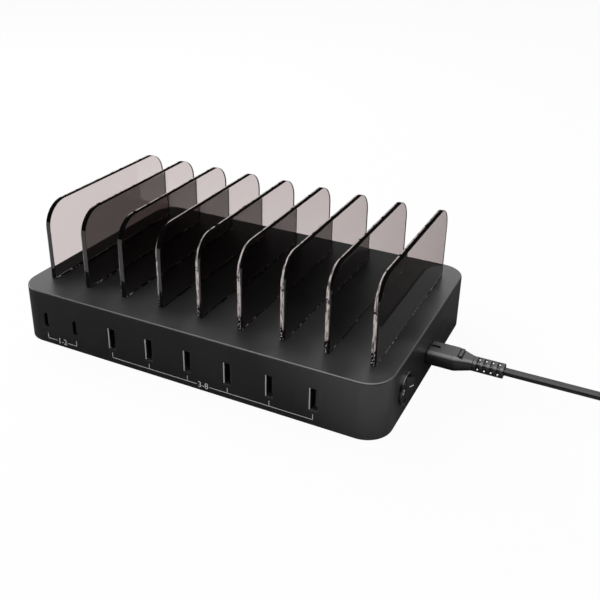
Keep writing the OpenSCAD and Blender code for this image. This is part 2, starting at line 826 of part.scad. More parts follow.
// The moulded connector: nose, grip and tapered shoulder, with two pin sockets
module connector() {
    nose_r = nose_h / 2 - 0.1;
    end_t = 0.2;
    color("#1b1b1d") stand() translate([0, inlet_y, inlet_z]) difference() {
        union() {
            translate([right - nose_l, 0, 0])
                bar(nose_w, nose_h, nose_l + seat_gap + cut / 2, nose_r);
            translate([right + seat_gap, 0, 0]) bar(grip_w, grip_h, grip_l - seat_gap, grip_r);
            hull() {
                translate([shoulder_start - end_t, 0, 0]) bar(grip_w, grip_h, end_t, grip_r);
                translate([boot_start - end_t, 0, 0]) bar(boot_w, boot_h, end_t, boot_r);
            }
            translate([shoulder_start - 3, 0, grip_h / 2 - ridge.y / 2])
                block([ridge.x, grip_w - 2 * grip_r, ridge.y]);
        }
        for (y = [-1, 1]) translate([right - nose_l - cut, y * pin_pitch / 2, 0])
            rotate([0, 90, 0]) cylinder(r = pin_r + 0.3, h = pin_l + cut + 1);
        translate([right + notch_x, 0, grip_h / 2 - notch.z])
            slab(notch.x, notch.y, notch.z + cut, notch.y / 2 - 0.3);
    }
}

// The strain relief's ribs are thick rings round a slimmer core
module connector_boot() {
    rib_pitch = (boot_l - rib_l) / (rib_n - 1);
    color("#1b1b1d") stand() translate([boot_start, inlet_y, inlet_z]) {
        bar(boot_core_w, boot_core_h, boot_l, boot_r);
        for (k = [0:rib_n - 1]) translate([k * rib_pitch, 0, 0])
            bar(boot_w, boot_h, rib_l, boot_r);
    }
}

function unit(v) = v / norm(v);

// The flat cord's outline: straight along the middle, half round at both edges
function cord_outline(sides) = [
    for (j = [0:sides - 1]) let(a = 360 * j / sides, c = cos(a), far = abs(c) > 0.001 ? sign(c) : 0)
        [far * (cord_w - cord_t) / 2 + c * cord_t / 2, sin(a) * cord_t / 2]
];

// The outline's corners round one point of a route, turned by its fourth number
function cord_ring(route, k, outline) = let(
        near = route[max(k - 1, 0)],
        far = route[min(k + 1, len(route) - 1)],
        run = unit([far.x - near.x, far.y - near.y, far.z - near.z]),
        side = unit(cross([0, 0, 1], run)),
        up = cross(run, side),
        turn = route[k][3],
        wide = side * cos(turn) + up * sin(turn),
        thin = up * cos(turn) - side * sin(turn)
    ) [for (p = outline) [route[k].x, route[k].y, route[k].z] + wide * p.x + thin * p.y];

// One unbroken flat cord along a route
module cord_along(route, sides) {
    outline = cord_outline(sides);
    last = (len(route) - 1) * sides;
    polyhedron(
        points = [for (k = [0:len(route) - 1]) each cord_ring(route, k, outline)],
        faces = concat(
            [for (j = [1:sides - 2]) [0, j, j + 1]],
            [for (k = [1:len(route) - 1], j = [0:sides - 1])
                let(a = (k - 1) * sides + j, b = (k - 1) * sides + (j + 1) % sides)
                    each [[a, a + sides, b + sides], [a, b + sides, b]]],
            [for (j = [1:sides - 2]) [last, last + j + 1, last + j]]
        )
    );
}

module cord() {
    color("#1d1d1f") cord_along(cord_route, cord_sides);
}

// The coil winds inwards in its lower layer and outwards again in its upper one
function coil_radius(turn) = coil_r - coil_pitch * min(turn, 2 * layer_turns - turn);
function coil_height(turn) =
    coil_low + (coil_high - coil_low) * min(max(2 * (turn - layer_turns) + 0.5, 0), 1);
function coil_point(turn) = [
    coil_mid.x + coil_radius(turn) * cos(360 * turn - 90),
    coil_mid.y + coil_radius(turn) * sin(360 * turn - 90),
    coil_height(turn),
    90
];

// Gap between two places on the coil that lie whole turns apart
function turn_gap(a, b) = norm([
    coil_radius(a) - coil_radius(b),
    max(0, abs(coil_height(a) - coil_height(b)) - (cord_w - cord_t))
]) - cord_t;

module cord_coil() {
    echo(coil_least_gap = min([
        for (k = [0:coil_steps], m = [1:floor((coil_steps - k) / loop_steps)])
            if (k + m * loop_steps <= coil_steps) turn_gap(k / loop_steps, k / loop_steps + m)
    ]));
    color("#1d1d1f") cord_along(concat(
        [cord_route[len(cord_route) - 1]],
        [for (k = [0:coil_steps]) coil_point(k / loop_steps)],
        tail_route
    ), coil_sides);
}

// A strap round all the turns, on the side away from the body
module coil_tie() {
    inner = coil_r - coil_pitch * layer_turns - cord_t / 2 - tie_gap;
    outer = coil_r + cord_t / 2 + tie_gap;
    top = coil_high + cord_w / 2 + tie_gap;
    mid_x = coil_mid.x + (inner + outer) / 2;
    color("#232325") translate([mid_x, coil_mid.y + tie_w / 2, (top + tie_t) / 2])
        rotate([90, 0, 0]) difference() {
            slab(outer - inner + 2 * tie_t, top + tie_t, tie_w, tie_r + tie_t);
            translate([0, 0, -cut]) slab(outer - inner, top - tie_t, tie_w + 2 * cut, tie_r);
        }
}

// A two-blade plug that stands on its narrow side, with its strain relief
module mains_plug() {
    end_t = 0.2;
    color("#1b1b1d") translate([0, tail_y, plug_w / 2]) {
        translate([plug_face, 0, 0]) bar(plug_t, plug_w, plug_l, plug_r);
        hull() {
            translate([plug_back, 0, 0]) bar(relief_big.x, relief_big.y, end_t, relief_r);
            translate([plug_top_x - end_t, 0, 0])
                bar(relief_small.x, relief_small.y, end_t, relief_r);
        }
    }
}

module plug_blades() {
    blade_hole_r = 1.6;
    hole_back = 4;
    color("#c2a356") for (z = [-1, 1])
        translate([plug_face - blade_l, tail_y, plug_w / 2 + z * blade_pitch / 2])
            difference() {
                translate([0, -blade_w / 2, -blade_t / 2]) cube([blade_l, blade_w, blade_t]);
                translate([hole_back, 0, -blade_t]) cylinder(r = blade_hole_r, h = 2 * blade_t);
            }
}

top_housing();
base_plate();
rubber_feet();
base_screws();
for (k = [1:divider_n])
    divider(k);
for (k = [1:usb_a_n]) {
    usb_a_shell(usb_a_x[k - 1]);
    usb_a_tongue(usb_a_x[k - 1]);
}
for (k = [1:usb_c_n]) {
    usb_c_shell(usb_c_x[k - 1]);
    usb_c_tongue(usb_c_x[k - 1]);
}
port_board();
board_header();
main_board();
board_screws();
switch_body();
switch_rocker();
switch_terminals();
inlet_body();
inlet_pins();
line_wires();
fuse();
line_choke();
line_filter_capacitor();
bridge_rectifier();
bulk_capacitor();
transformer_core();
transformer_coil();
power_transistor();
primary_heat_sink();
secondary_heat_sink();
output_capacitors();
output_inductors();
charge_controllers();
connector();
connector_boot();
cord();
cord_coil();
coil_tie();
mains_plug();
plug_blades();
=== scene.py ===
"""Looks of a device charging station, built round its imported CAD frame.

+X is the side with the switch and the mains lead, +Y the back and +Z up.
Sizes are in millimetres until a mesh is made, and in metres from then on.
"""

import logging
import math
from dataclasses import dataclass
from enum import Enum
from functools import cache, cached_property
from typing import Callable, NamedTuple, Sequence

import bmesh
import bpy
from mathutils import Matrix, Vector


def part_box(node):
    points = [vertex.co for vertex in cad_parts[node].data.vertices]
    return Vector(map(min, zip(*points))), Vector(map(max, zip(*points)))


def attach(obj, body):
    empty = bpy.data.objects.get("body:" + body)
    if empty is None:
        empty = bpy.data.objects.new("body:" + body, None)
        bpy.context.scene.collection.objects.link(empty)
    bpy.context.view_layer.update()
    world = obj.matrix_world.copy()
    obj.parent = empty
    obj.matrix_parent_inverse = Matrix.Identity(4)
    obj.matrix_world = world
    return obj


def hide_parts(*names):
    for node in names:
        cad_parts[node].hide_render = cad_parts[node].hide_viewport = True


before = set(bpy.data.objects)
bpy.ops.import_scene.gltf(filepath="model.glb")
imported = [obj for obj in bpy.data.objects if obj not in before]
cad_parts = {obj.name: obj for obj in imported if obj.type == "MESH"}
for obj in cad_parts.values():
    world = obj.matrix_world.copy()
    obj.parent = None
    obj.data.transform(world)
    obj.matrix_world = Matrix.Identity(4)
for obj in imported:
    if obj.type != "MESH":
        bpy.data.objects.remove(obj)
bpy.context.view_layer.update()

Piece = bpy.types.Object
Socket = bpy.types.NodeSocket
Pair = tuple[float, float]
Point = tuple[float, float, float]
Colour = tuple[float, float, float, float]
Value = float | Colour | Socket

log = logging.getLogger("charging_station")

MM = 0.001
FRONT_Y = -70.0
TOP_Z = 33.0
MIDDLE_X = -1.9
PLATE_Y = 0.75
PLATE_PITCH = 24.35
LARGE_PITCH = 24.0
LARGE_PORTS = tuple(-48.2 + LARGE_PITCH * k for k in range(6))
SMALL_PORTS = (-93.0, -73.0)
SMOOTH_BELOW = math.cos(math.radians(50))
ROUND_ABOVE = math.radians(40)
FLAT_BELOW = math.radians(0.6)
SAME_PLACE = 2e-6
HERE = Matrix()
WHITE = (1.0, 1.0, 1.0, 1.0)
BLACK = (0.0, 0.0, 0.0, 1.0)
PAPER = (0.8, 0.8, 0.8, 1.0)


# Node trees
def linear(code: str) -> Colour:
    """Turns an sRGB hex value into the linear colour that a shader takes.

    Args:
        code: Six hex digits after a hash sign.

    Returns:
        Red, green, blue and an alpha of 1.
    """
    parts = [int(code[k : k + 2], 16) / 255 for k in (1, 3, 5)]
    wide = [c / 12.92 if c <= 0.04045 else ((c + 0.055) / 1.055) ** 2.4 for c in parts]
    return (*wide, 1.0)


@dataclass(frozen=True)
class Graph:
    """A node tree, with short calls for the nodes that come up again and again."""

    tree: bpy.types.NodeTree

    @classmethod
    def of(cls, owner: bpy.types.Material | bpy.types.World) -> "Graph":
        """Empties the node tree of a material or a world and takes it."""
        owner.use_nodes = True
        owner.node_tree.nodes.clear()
        return cls(owner.node_tree)

    def add(self, kind: str, inputs: dict | None = None, **settings: object) -> bpy.types.Node:
        """Adds a node with its settings, values and links.

        Args:
            kind: The node's type, as Blender names it.
            inputs: Values or output sockets, by the input's name or number.
            settings: The node's own properties.

        Returns:
            The new node.
        """
        node = self.tree.nodes.new(kind)
        for name, value in settings.items():
            setattr(node, name, value)
        for key, value in (inputs or {}).items():
            if isinstance(value, Socket):
                self.tree.links.new(value, node.inputs[key])
            else:
                node.inputs[key].default_value = value
        return node

    def get(self, kind: str, inputs: dict | None = None, **settings: object) -> Socket:
        """Adds a node and returns its first output."""
        return self.add(kind, inputs, **settings).outputs[0]

    def calc(self, operation: str, *values: Value, clamp: bool = False) -> Socket:
        """Adds one sum, whose result stays between 0 and 1 if clamp is set."""
        return self.get("ShaderNodeMath", dict(enumerate(values)), operation=operation,
                        use_clamp=clamp)

    def ramp(self, value: Socket, start: float, end: float, low: float = 0.0, high: float = 1.0,
             **settings: object) -> Socket:
        """Changes a value from low to high while it runs from start to end."""
        return self.get("ShaderNodeMapRange", {
            "Value": value, "From Min": start, "From Max": end, "To Min": low, "To Max": high},
            **settings)

    def mix(self, share: Value, low: str | Value, high: str | Value) -> Socket:
        """Mixes two colours, each a hex value, a linear colour or a socket."""
        low, high = (linear(c) if isinstance(c, str) else c for c in (low, high))
        return self.add("ShaderNodeMix", {0: share, 6: low, 7: high}, data_type="RGBA").outputs[2]

    def blend(self, share: Value, low: Value, high: Value) -> Socket:
        """Mixes two numbers."""
        return self.get("ShaderNodeMix", {0: share, 2: low, 3: high})

    def place(self, kind: str = "Object") -> Socket:
        """Gives the coordinates of one kind."""
        return self.add("ShaderNodeTexCoord").outputs[kind]

    def axes(self, kind: str = "Object") -> tuple[Socket, ...]:
        """Gives X, Y and Z of the coordinates of one kind."""
        return tuple(self.add("ShaderNodeSeparateXYZ", {0: self.place(kind)}).outputs)

    def noise(self, place: Socket, size: float | Point, detail: float) -> Socket:
        """Adds a noise with patches of one size, or of one size along each axis."""
        if isinstance(size, tuple):
            scale = tuple(1 / (s * MM) for s in size)
            place, size = self.get("ShaderNodeMapping", {"Vector": place, "Scale": scale}), 1 / MM
        return self.get("ShaderNodeTexNoise", {
            "Vector": place, "Scale": 1 / (size * MM), "Detail": detail})

    def bump(self, height: Socket, depth: float) -> Socket:
        """Tilts the normals as if the surface rose and fell by a depth."""
        return self.get("ShaderNodeBump", {"Height": height, "Distance": depth * MM})


# Finishes
@dataclass(frozen=True)
class Recipe:
    """A finish: one Principled shader that varies over the piece's own coordinates."""

    name: str

    def inputs(self, graph: Graph, place: Socket) -> dict[str, Value]:
        """Gives the shader's inputs, as each kind of finish sets them."""
        raise NotImplementedError

    def inside(self, graph: Graph) -> dict[str, Socket]:
        """Gives what fills the piece, by the output's input. Most finishes leave it out."""
        return {}

    def material(self) -> bpy.types.Material:
        """Builds the finish's material."""
        material = bpy.data.materials.new(self.name)
        graph = Graph.of(material)
        shader = graph.get("ShaderNodeBsdfPrincipled", self.inputs(graph, graph.place()))
        graph.add("ShaderNodeOutputMaterial", {"Surface": shader, **self.inside(graph)})
        return material


@dataclass(frozen=True)
class MouldedPlastic(Recipe):
    """A moulded thermoplastic with an eroded grain.

    The grain breaks up reflections, and the tone varies a little in soft patches.
    """

    shade: str
    light_shade: str
    roughness: float
    grain_mm: float = 0.35
    grain_depth_mm: float = 0.012
    patch_mm: float = 26.0
    ior: float = 1.53
    specular: float = 0.5
    roughness_spread: float = 0.06

    def inputs(self, graph: Graph, place: Socket) -> dict[str, Value]:
        """Gives an uneven tone and gloss, and the grain."""
        cloud = graph.noise(place, self.patch_mm, 3.0)
        smear = graph.noise(place, self.patch_mm, 4.0)
        spread = self.roughness_spread
        return {"Base Color": graph.mix(cloud, self.shade, self.light_shade),
                "Roughness": graph.ramp(smear, 0.3, 0.7, self.roughness - spread,
                                        self.roughness + spread),
                "IOR": self.ior, "Specular IOR Level": self.specular,
                "Normal": graph.bump(graph.noise(place, self.grain_mm, 2.0), self.grain_depth_mm)}


@dataclass(frozen=True)
class ClearSolid(Recipe):
    """A clear solid with a dye.

    A short path through it keeps much of the light, and a long one, as down from an edge, little.
    """

    keeps: Point
    density: float
    ior: float = 1.49
    ripple_mm: float = 50 / 3
    ripple_depth_mm: float = 0.0008

    def inputs(self, graph: Graph, place: Socket) -> dict[str, Value]:
        """Gives a polished surface with faint ripples."""
        ripple = graph.noise(place, self.ripple_mm, 1.0)
        return {"Base Color": WHITE, "Roughness": 0.0, "IOR": self.ior,
                "Transmission Weight": 1.0, "Normal": graph.bump(ripple, self.ripple_depth_mm)}

    def inside(self, graph: Graph) -> dict[str, Socket]:
        """Gives the dye."""
        return {"Volume": graph.get("ShaderNodeVolumeAbsorption", {
            "Color": (*self.keeps, 1.0), "Density": self.density})}


@dataclass(frozen=True)
class CutSheet(ClearSolid):
    """A smoked clear sheet, as each divider is made of; its edges and foot line are painted.

    An upright edge has painted streaks of light that stand in for the paper seen through it, beside
    a black line. The top edge is black with a few painted highlights, and the foot line is painted
    black as shade, with painted specks of light.
    """

    edge_from: float = 1.4
    edge_to: float = 1.35
    arc_from: float = 42.5
    swirl_rise: float = 29.0
    speck_rise: float = 7.0
    foot_h: float = 0.8
    # Painted tones: black for the edges and the foot line's shade, pale for the streaks and specks
    dark: str = "#080707"
    light: str = "#d9cdca"

    def inputs(self, graph: Graph, place: Socket) -> dict[str, Value]:
        """Adds to the clear sheet the painted look of its edges and foot line from outside."""
        calc = graph.calc
        x, y, z = graph.axes()

        def step(value: Socket, start: float, width: float) -> Socket:
            """Rises from 0 to 1 over a width, or falls if it is below 0."""
            return calc("DIVIDE", calc("SUBTRACT", value, start * MM), width * MM, clamp=True)

        def grain(sizes: Point, low: float, high: float) -> Socket:
            """Gives a stretched noise with its contrast raised."""
            return graph.ramp(graph.noise(place, sizes, 2.0), low, high)

        half = PLATE_PITCH / 2 * MM
        across = calc("WRAP", calc("SUBTRACT", x, MIDDLE_X * MM), half, -half)
        reach = calc("ABSOLUTE", calc("SUBTRACT", y, PLATE_Y * MM))
        rise = calc("SUBTRACT", z, TOP_Z * MM)
        above = calc("GREATER_THAN", rise, 0.02 * MM)
        edge = calc("MULTIPLY", above,
                    calc("LESS_THAN", calc("ABSOLUTE", across), self.edge_from * MM))
        foot = calc("MULTIPLY", above, calc("LESS_THAN", rise, self.foot_h * MM))
        # The painted streaks are narrow on the left plates, wide on the right ones, and end in the
        # arc
        border = calc("MULTIPLY_ADD", step(x, -48.0, 52.0), 1.7 * MM, -0.95 * MM)
        border = calc("SUBTRACT", border, calc("MULTIPLY", step(rise, 27.0, 16.0), 1.1 * MM))
        wide = calc("DIVIDE", calc("SUBTRACT", border, across), 0.4 * MM, clamp=True)
        # A swirl breaks them, and near the foot only painted specks are left
        streaks = calc("MAXIMUM", grain((0.55, 4.0, 4.0), 0.36, 0.54), 0.16)
        off_swirl = calc("ABSOLUTE", calc("SUBTRACT", rise, self.swirl_rise * MM))
        swirl = calc("MAXIMUM", step(off_swirl, 0.8, 1.2), grain((0.7, 1.2, 1.2), 0.5, 0.55))
        upright = graph.blend(step(rise, self.speck_rise, 1.5), grain((0.9, 0.9, 0.9), 0.55, 0.6),
                              calc("MULTIPLY", streaks, swirl))
        # Painted highlights on the top edge, which is otherwise black
        painted_glints = calc("MULTIPLY", grain((2.0, 4.0, 2.0), 0.38, 0.46), step(across, -0.45, -0.4))
        painted_light = graph.blend(step(reach, self.arc_from, 3.0), calc("MULTIPLY", painted_glints, 0.8),
                             calc("MULTIPLY", upright, wide))
        painted_light = calc("MULTIPLY", painted_light, step(across, -self.edge_to, 0.15))
        # The foot line is black as painted shade, with painted specks of light
        painted_specks = calc("MULTIPLY", grain((30.0, 2.6, 30.0), 0.57, 0.6), calc("SUBTRACT", 1.0, edge))
        painted_light = calc("MAXIMUM", painted_light, calc("MULTIPLY", painted_specks, foot))
        # From inside the sheet its edges stay clear
        outside = calc("SUBTRACT", 1.0, graph.add("ShaderNodeNewGeometry").outputs["Backfacing"])
        # Where the edges and the foot line are painted, the sheet turns opaque
        share = calc("MULTIPLY", calc("MAXIMUM", edge, foot), outside)
        tone = graph.mix(painted_light, self.dark, self.light)
        return {**super().inputs(graph, place), "Base Color": graph.mix(share, WHITE, tone),
                "Transmission Weight": calc("SUBTRACT", 1.0, share)}


@dataclass(frozen=True)
class Webbing(Recipe):
    """A plain woven band: threads over and under each other, matt, a little fuzzy."""

    shade: str
    thread_shade: str
    thread_mm: float = 0.5

    def inputs(self, graph: Graph, place: Socket) -> dict[str, Value]:
        """Gives the threads' crossings as bump, and as a tone painted darker in the hollows, as
        shade.
        """
        x, y, z = graph.axes()
        turns = math.pi / (self.thread_mm * MM)
        warp, weft = (graph.calc("SINE", graph.calc("MULTIPLY", run, turns))
                      for run in (graph.calc("ADD", x, z), y))
        height = graph.ramp(graph.calc("MULTIPLY", warp, weft), -1.0, 1.0)
        # The tone follows the height: the hollows between threads are painted darker, as shade
        return {"Base Color": graph.mix(height, self.shade, self.thread_shade), "Roughness": 0.85,
                "Sheen Weight": 0.3, "Normal": graph.bump(height, 0.15)}


@dataclass(frozen=True)
class Metal(Recipe):
    """A metal with fine streaks along one axis and a slightly uneven tone."""

    shade: str
    dark_shade: str
    roughness: float
    streak_mm: Point = (0.2, 0.2, 0.2)
    streak_depth_mm: float = 0.004
    metallic: float = 1.0

    def inputs(self, graph: Graph, place: Socket) -> dict[str, Value]:
        """Gives the streaks as tone, gloss and bump."""
        streak = graph.noise(place, self.streak_mm, 3.0)
        return {"Base Color": graph.mix(streak, self.dark_shade, self.shade),
                "Metallic": self.metallic,
                "Roughness": graph.ramp(streak, 0.0, 1.0, self.roughness * 0.8,
                                        self.roughness * 1.25),
                "Normal": graph.bump(streak, self.streak_depth_mm)}


@dataclass(frozen=True)
class Ink(Recipe):
    """Pad-printed ink: flat, matt, and a little uneven in cover."""

    shade: str
    thin_shade: str

    def inputs(self, graph: Graph, place: Socket) -> dict[str, Value]:
        """Gives the uneven cover."""
        return {"Base Color": graph.mix(graph.noise(place, 0.8, 3.0), self.thin_shade, self.shade),
                "Roughness": 0.55, "IOR": 1.5}


class Finish(Enum):
    """The finishes of the station's pieces."""

    # Spark-eroded ABS: satin, close to black, with a soft sheen at a low angle
    HOUSING = MouldedPlastic("abs_spark_eroded_charcoal", "#1a1a1b", "#1e1e1f", 0.38)
    BASE = MouldedPlastic("abs_moulded_base", "#19191a", "#1d1d1e", 0.5)
    # Smoke-dyed cast acrylic, warm grey to look through; edges painted black, with painted
    # highlights
    PLATE = CutSheet("acrylic_cast_smoke", (0.31, 0.09, 0.07), 150.0)
    # Moulded rubber: dull, so that the feet stay dark under the station
    RUBBER = MouldedPlastic("silicone_rubber_moulded", "#151515", "#1a1a1a", 0.75, 0.5, 0.02)
    # Polished polycarbonate: the switch's rim and rocker shine against the satin wall
    GLOSS = MouldedPlastic("polycarbonate_polished_black", "#0c0c0d", "#0f0f10", 0.16, 1.2, 0.002)
    INSULATOR = MouldedPlastic("nylon_glass_filled_black", "#29292b", "#333335", 0.45, 0.25, 0.008)
    # Soft PVC: a little glossier than the housing, on the connector and the plug
    PVC = MouldedPlastic("pvc_moulded_satin_black", "#141415", "#19191a", 0.4, 0.4, 0.01)
    CORD = MouldedPlastic("pvc_extruded_cord_black", "#101011", "#151516", 0.36, 0.5, 0.008,
                          specular=0.2)
    NYLON = MouldedPlastic("nylon_natural", "#d6d0bd", "#e2dccb", 0.45)
    EPOXY = MouldedPlastic("epoxy_moulding_compound", "#141416", "#1c1c1e", 0.55, 0.15, 0.01)
    SOLDER_MASK = MouldedPlastic("fr4_green_solder_mask", "#12402a", "#1a5236", 0.3, 0.9, 0.02, 3.0)
    SLEEVE = MouldedPlastic("pvc_shrink_sleeve_blue", "#1a2c46", "#21375a", 0.28, 0.8, 0.01)
    FILM_BOX = MouldedPlastic("polypropylene_film_capacitor_yellow", "#b79a2f", "#c4a73a", 0.35)
    FERRITE = MouldedPlastic("ferrite_sintered", "#333335", "#404043", 0.6, 0.2, 0.02, 4.0)
    TAPE = MouldedPlastic("polyester_tape_yellow", "#b8992c", "#c6a838", 0.3, 1.5, 0.01)
    STRAP = Webbing("polyamide_webbing_black", "#0e0e0f", "#242426")
    GLASS = ClearSolid("glass_drawn_tube", (0.85, 0.95, 0.92), 5.0)
    WIRE = MouldedPlastic("pvc_wire_insulation_red", "#6e1f1a", "#7c2721", 0.4)
    # Nickel-plated sheet: drawn streaks along the socket, dim in the deep openings
    STEEL = Metal("steel_nickel_plated", "#7c7c80", "#68686c", 0.42, (0.6, 4.0, 0.6))
    DARK_STEEL = Metal("steel_black_nickel", "#3c3c3f", "#2c2c2e", 0.45, (0.6, 4.0, 0.6))
    # A near-white, part-metal steel paints a highlight on the lip: a pale line at any angle
    PAINTED_HIGHLIGHT = Metal("steel_painted_highlight", "#ececee", "#d2d2d6", 0.5, metallic=0.4)
    SCREW = Metal("steel_zinc_plated", "#b4b6ba", "#96989c", 0.32)
    BRASS = Metal("brass_stamped", "#c9a45c", "#ab8742", 0.25, (3.0, 0.4, 0.4))
    GOLD = Metal("contact_gold_flash", "#e0bd6a", "#c7a04e", 0.22)
    COPPER = Metal("copper_wire_enamelled", "#b4683a", "#8e4a24", 0.3, (2.0, 0.5, 0.5), 0.02)
    ALUMINIUM = Metal("aluminium_extruded", "#b9babc", "#9d9ea1", 0.35, (0.5, 0.5, 6.0))
    # Printed marks: pale, and matt beside the satin wall and the polished rocker
    MARKING = Ink("pad_print_light_grey", "#d4d4d4", "#c2c2c2")
    MARKING_WHITE = Ink("pad_print_white", "#efefef", "#dedede")

    def get(self) -> bpy.types.Material:
        """Returns the finish's material, which is made once."""
        return bpy.data.materials.get(self.value.name) or self.value.material()


# Meshes
def place_at(at: Point, axes: str = "xyz") -> Matrix:
    """Gives the matrix that brings a shape to its place.

    Args:
        at: Where its origin goes.
        axes: Where its X, Y and Z come to point, in capitals if backwards.

    Returns:
        The matrix, in millimetres.
    """
    turn = Matrix([[0.0] * 3] * 3)
    for column, letter in enumerate(axes):
        turn["xyz".index(letter.lower())][column] = 1.0 if letter.islower() else -1.0
    return Matrix.Translation(at) @ turn.to_4x4()


def in_metres(place: Matrix) -> Matrix:
    """Gives the same place for a mesh, which is in metres."""
    result = place.copy()
    result.translation = place.translation * MM
    return result


def new_object(name: str, data: bpy.types.ID) -> Piece:
    """Links an object to the scene, under one name with its data."""
    data.name = name
    obj = bpy.data.objects.new(name, data)
    bpy.context.scene.collection.objects.link(obj)
    return obj


def edit_mesh(obj: Piece, work: Callable[[bmesh.types.BMesh], object]) -> None:
    """Runs one piece of mesh work on an object."""
    bm = bmesh.new()
    bm.from_mesh(obj.data)
    work(bm)
    bm.to_mesh(obj.data)
    bm.free()
    obj.data.update()


def outwards(obj: Piece) -> Piece:
    """Turns all faces of an object outwards."""
    edit_mesh(obj, lambda bm: bmesh.ops.recalc_face_normals(bm, faces=bm.faces))
    return obj


def object_from(name: str, points: Sequence[Sequence[float]], faces: Sequence[Sequence[int]],
                finish: Finish | None = None) -> Piece:
    """Makes an object from points and faces.

    Args:
        name: The object's name.
        points: The corners, in millimetres.
        faces: Corner numbers of each face.
        finish: Its finish, if it has one.

    Returns:
        The new object, whose faces point outwards.
    """
    mesh = bpy.data.meshes.new(name)
    mesh.from_pydata([tuple(c * MM for c in p) for p in points], [], faces)
    if finish:
        mesh.materials.append(finish.get())
    return outwards(new_object(name, mesh))


def evaluated(obj: Piece) -> bpy.types.Mesh:
    """Makes a mesh of an object as its modifiers leave it."""
    depsgraph = bpy.context.evaluated_depsgraph_get()
    return bpy.data.meshes.new_from_object(obj.evaluated_get(depsgraph))


def baked(obj: Piece) -> Piece:
    """Turns an object's modifiers into its mesh and removes them."""
    result = evaluated(obj)
    result.name = obj.name
    obj.modifiers.clear()
    obj.data = result
    return obj


def even_normals(obj: Piece) -> None:
    """Shades an object smooth, with large faces kept flat beside their rounded edges."""
    bm = bmesh.new()
    bm.from_mesh(obj.data)
    bm.normal_update()
    area = [face.calc_area() for face in bm.faces]
    normals = []
    for face in bm.faces:
        for corner in face.loops:
            near = [f for f in corner.vert.link_faces
                    if f.normal.dot(face.normal) > SMOOTH_BELOW]
            total = sum((f.normal * area[f.index] for f in near), Vector())
            normals.append(total.normalized())
    bm.free()
    obj.data.shade_smooth()
    obj.data.normals_split_custom_set(normals)


def rounded(obj: Piece, width: float, segments: int = 2) -> Piece:
    """Rounds an object's sharp edges.

    Args:
        obj: The object.
        width: Radius in millimetres. At 0 the edges stay sharp.
        segments: Faces across a rounding.

    Returns:
        The same object, with the rounding in its mesh.
    """
    if not width:
        return obj
    bevel = obj.modifiers.new("edges", "BEVEL")
    bevel.width = width * MM
    bevel.segments = segments
    bevel.limit_method = "ANGLE"
    bevel.angle_limit = ROUND_ABOVE
    bevel.miter_outer = "MITER_ARC"
    return baked(obj)


def carve(obj: Piece, tool: Piece) -> None:
    """Cuts one object's shape out of another and removes the tool."""
    cut = obj.modifiers.new("cut", "BOOLEAN")
    cut.operation = "DIFFERENCE"
    cut.solver = "EXACT"
    cut.object = tool
    baked(obj)
    bpy.data.objects.remove(tool)


def copy_of(node: str, name: str, finish: Finish) -> Piece:
    """Copies a CAD node's mesh, joins its loose triangles and merges its flat faces."""
    obj = new_object(name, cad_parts[node].data.copy())
    obj.data.materials.clear()
    obj.data.materials.append(finish.get())

    def clean(bm: bmesh.types.BMesh) -> None:
        """Joins the triangles, and splits again the faces that a rounding can't take whole."""
        bmesh.ops.remove_doubles(bm, verts=bm.verts, dist=SAME_PLACE)
        bmesh.ops.dissolve_limit(bm, angle_limit=FLAT_BELOW, verts=bm.verts, edges=bm.edges)
        wide = [face for face in bm.faces if len(face.verts) > 4]
        bmesh.ops.triangulate(bm, faces=wide, quad_method="BEAUTY", ngon_method="BEAUTY")

    edit_mesh(obj, clean)
    return obj


def joined(name: str, parts: Sequence[Piece]) -> Piece:
    """Joins objects into a new one, which has a material slot for each of their finishes."""
    bm = bmesh.new()
    materials: list[bpy.types.Material] = []
    for part in parts:
        start = len(bm.faces)
        bm.from_mesh(part.data)
        bm.faces.ensure_lookup_table()
        slots = list(part.data.materials)
        for face in bm.faces[start:]:
            own = slots[face.material_index]
            if own not in materials:
                materials.append(own)
            face.material_index = materials.index(own)
    mesh = bpy.data.meshes.new(name)
    bm.to_mesh(mesh)
    bm.free()
    for material in materials:
        mesh.materials.append(material)
    for part in parts:
        bpy.data.objects.remove(part)
    return new_object(name, mesh)


def circle(r: float, steps: int) -> list[Pair]:
    """Gives the corners of a circle."""
    angles = [2 * math.pi * k / steps for k in range(steps)]
    return [(r * math.cos(t), r * math.sin(t)) for t in angles]


def rounded_outline(w: float, h: float, r: float, arc: int) -> list[Pair]:
    """Gives the corners of a rectangle with round corners, round its middle."""
    outline = []
    for quarter, (sx, sy) in enumerate(((1, 1), (-1, 1), (-1, -1), (1, -1))):
        for k in range(arc + 1):
            t = math.radians(90 * quarter + 90 * k / arc)
            outline.append((sx * (w / 2 - r) + r * math.cos(t),
                            sy * (h / 2 - r) + r * math.sin(t)))
    return outline


def skin(rings: int, count: int, closed: bool = False) -> list[tuple[int, ...]]:
    """Lists the faces between rings of points.

    Args:
        rings: How many rings there are.
        count: Points of each ring.
        closed: Whether the last ring joins the first one.

    Returns:
        Four corner numbers for each face, ring after ring.
    """
    return [(a * count + k, a * count + (k + 1) % count,
             (a + 1) % rings * count + (k + 1) % count, (a + 1) % rings * count + k)
            for a in range(rings if closed else rings - 1) for k in range(count)]


def block(name: str, low: Point, high: Point, finish: Finish, edge: float = 0.15,
          segments: int = 2, place: Matrix = HERE) -> Piece:
    """Makes a block.

    Args:
        name: The object's name.
        low: Its left, front and lower corner.
        high: Its right, rear and upper corner.
        finish: Its finish.
        edge: Radius of its edges, 0 for sharp ones.
        segments: Faces across a rounding.
        place: Where the corners' frame goes.

    Returns:
        The block.
    """
    xs, ys, zs = zip(low, high)
    points = [place @ Vector((x, y, z)) for x in xs for y in ys for z in zs]
    faces = [(0, 1, 3, 2), (4, 6, 7, 5), (0, 4, 5, 1), (2, 3, 7, 6), (0, 2, 6, 4), (1, 5, 7, 3)]
    return rounded(object_from(name, points, faces, finish), edge, segments)


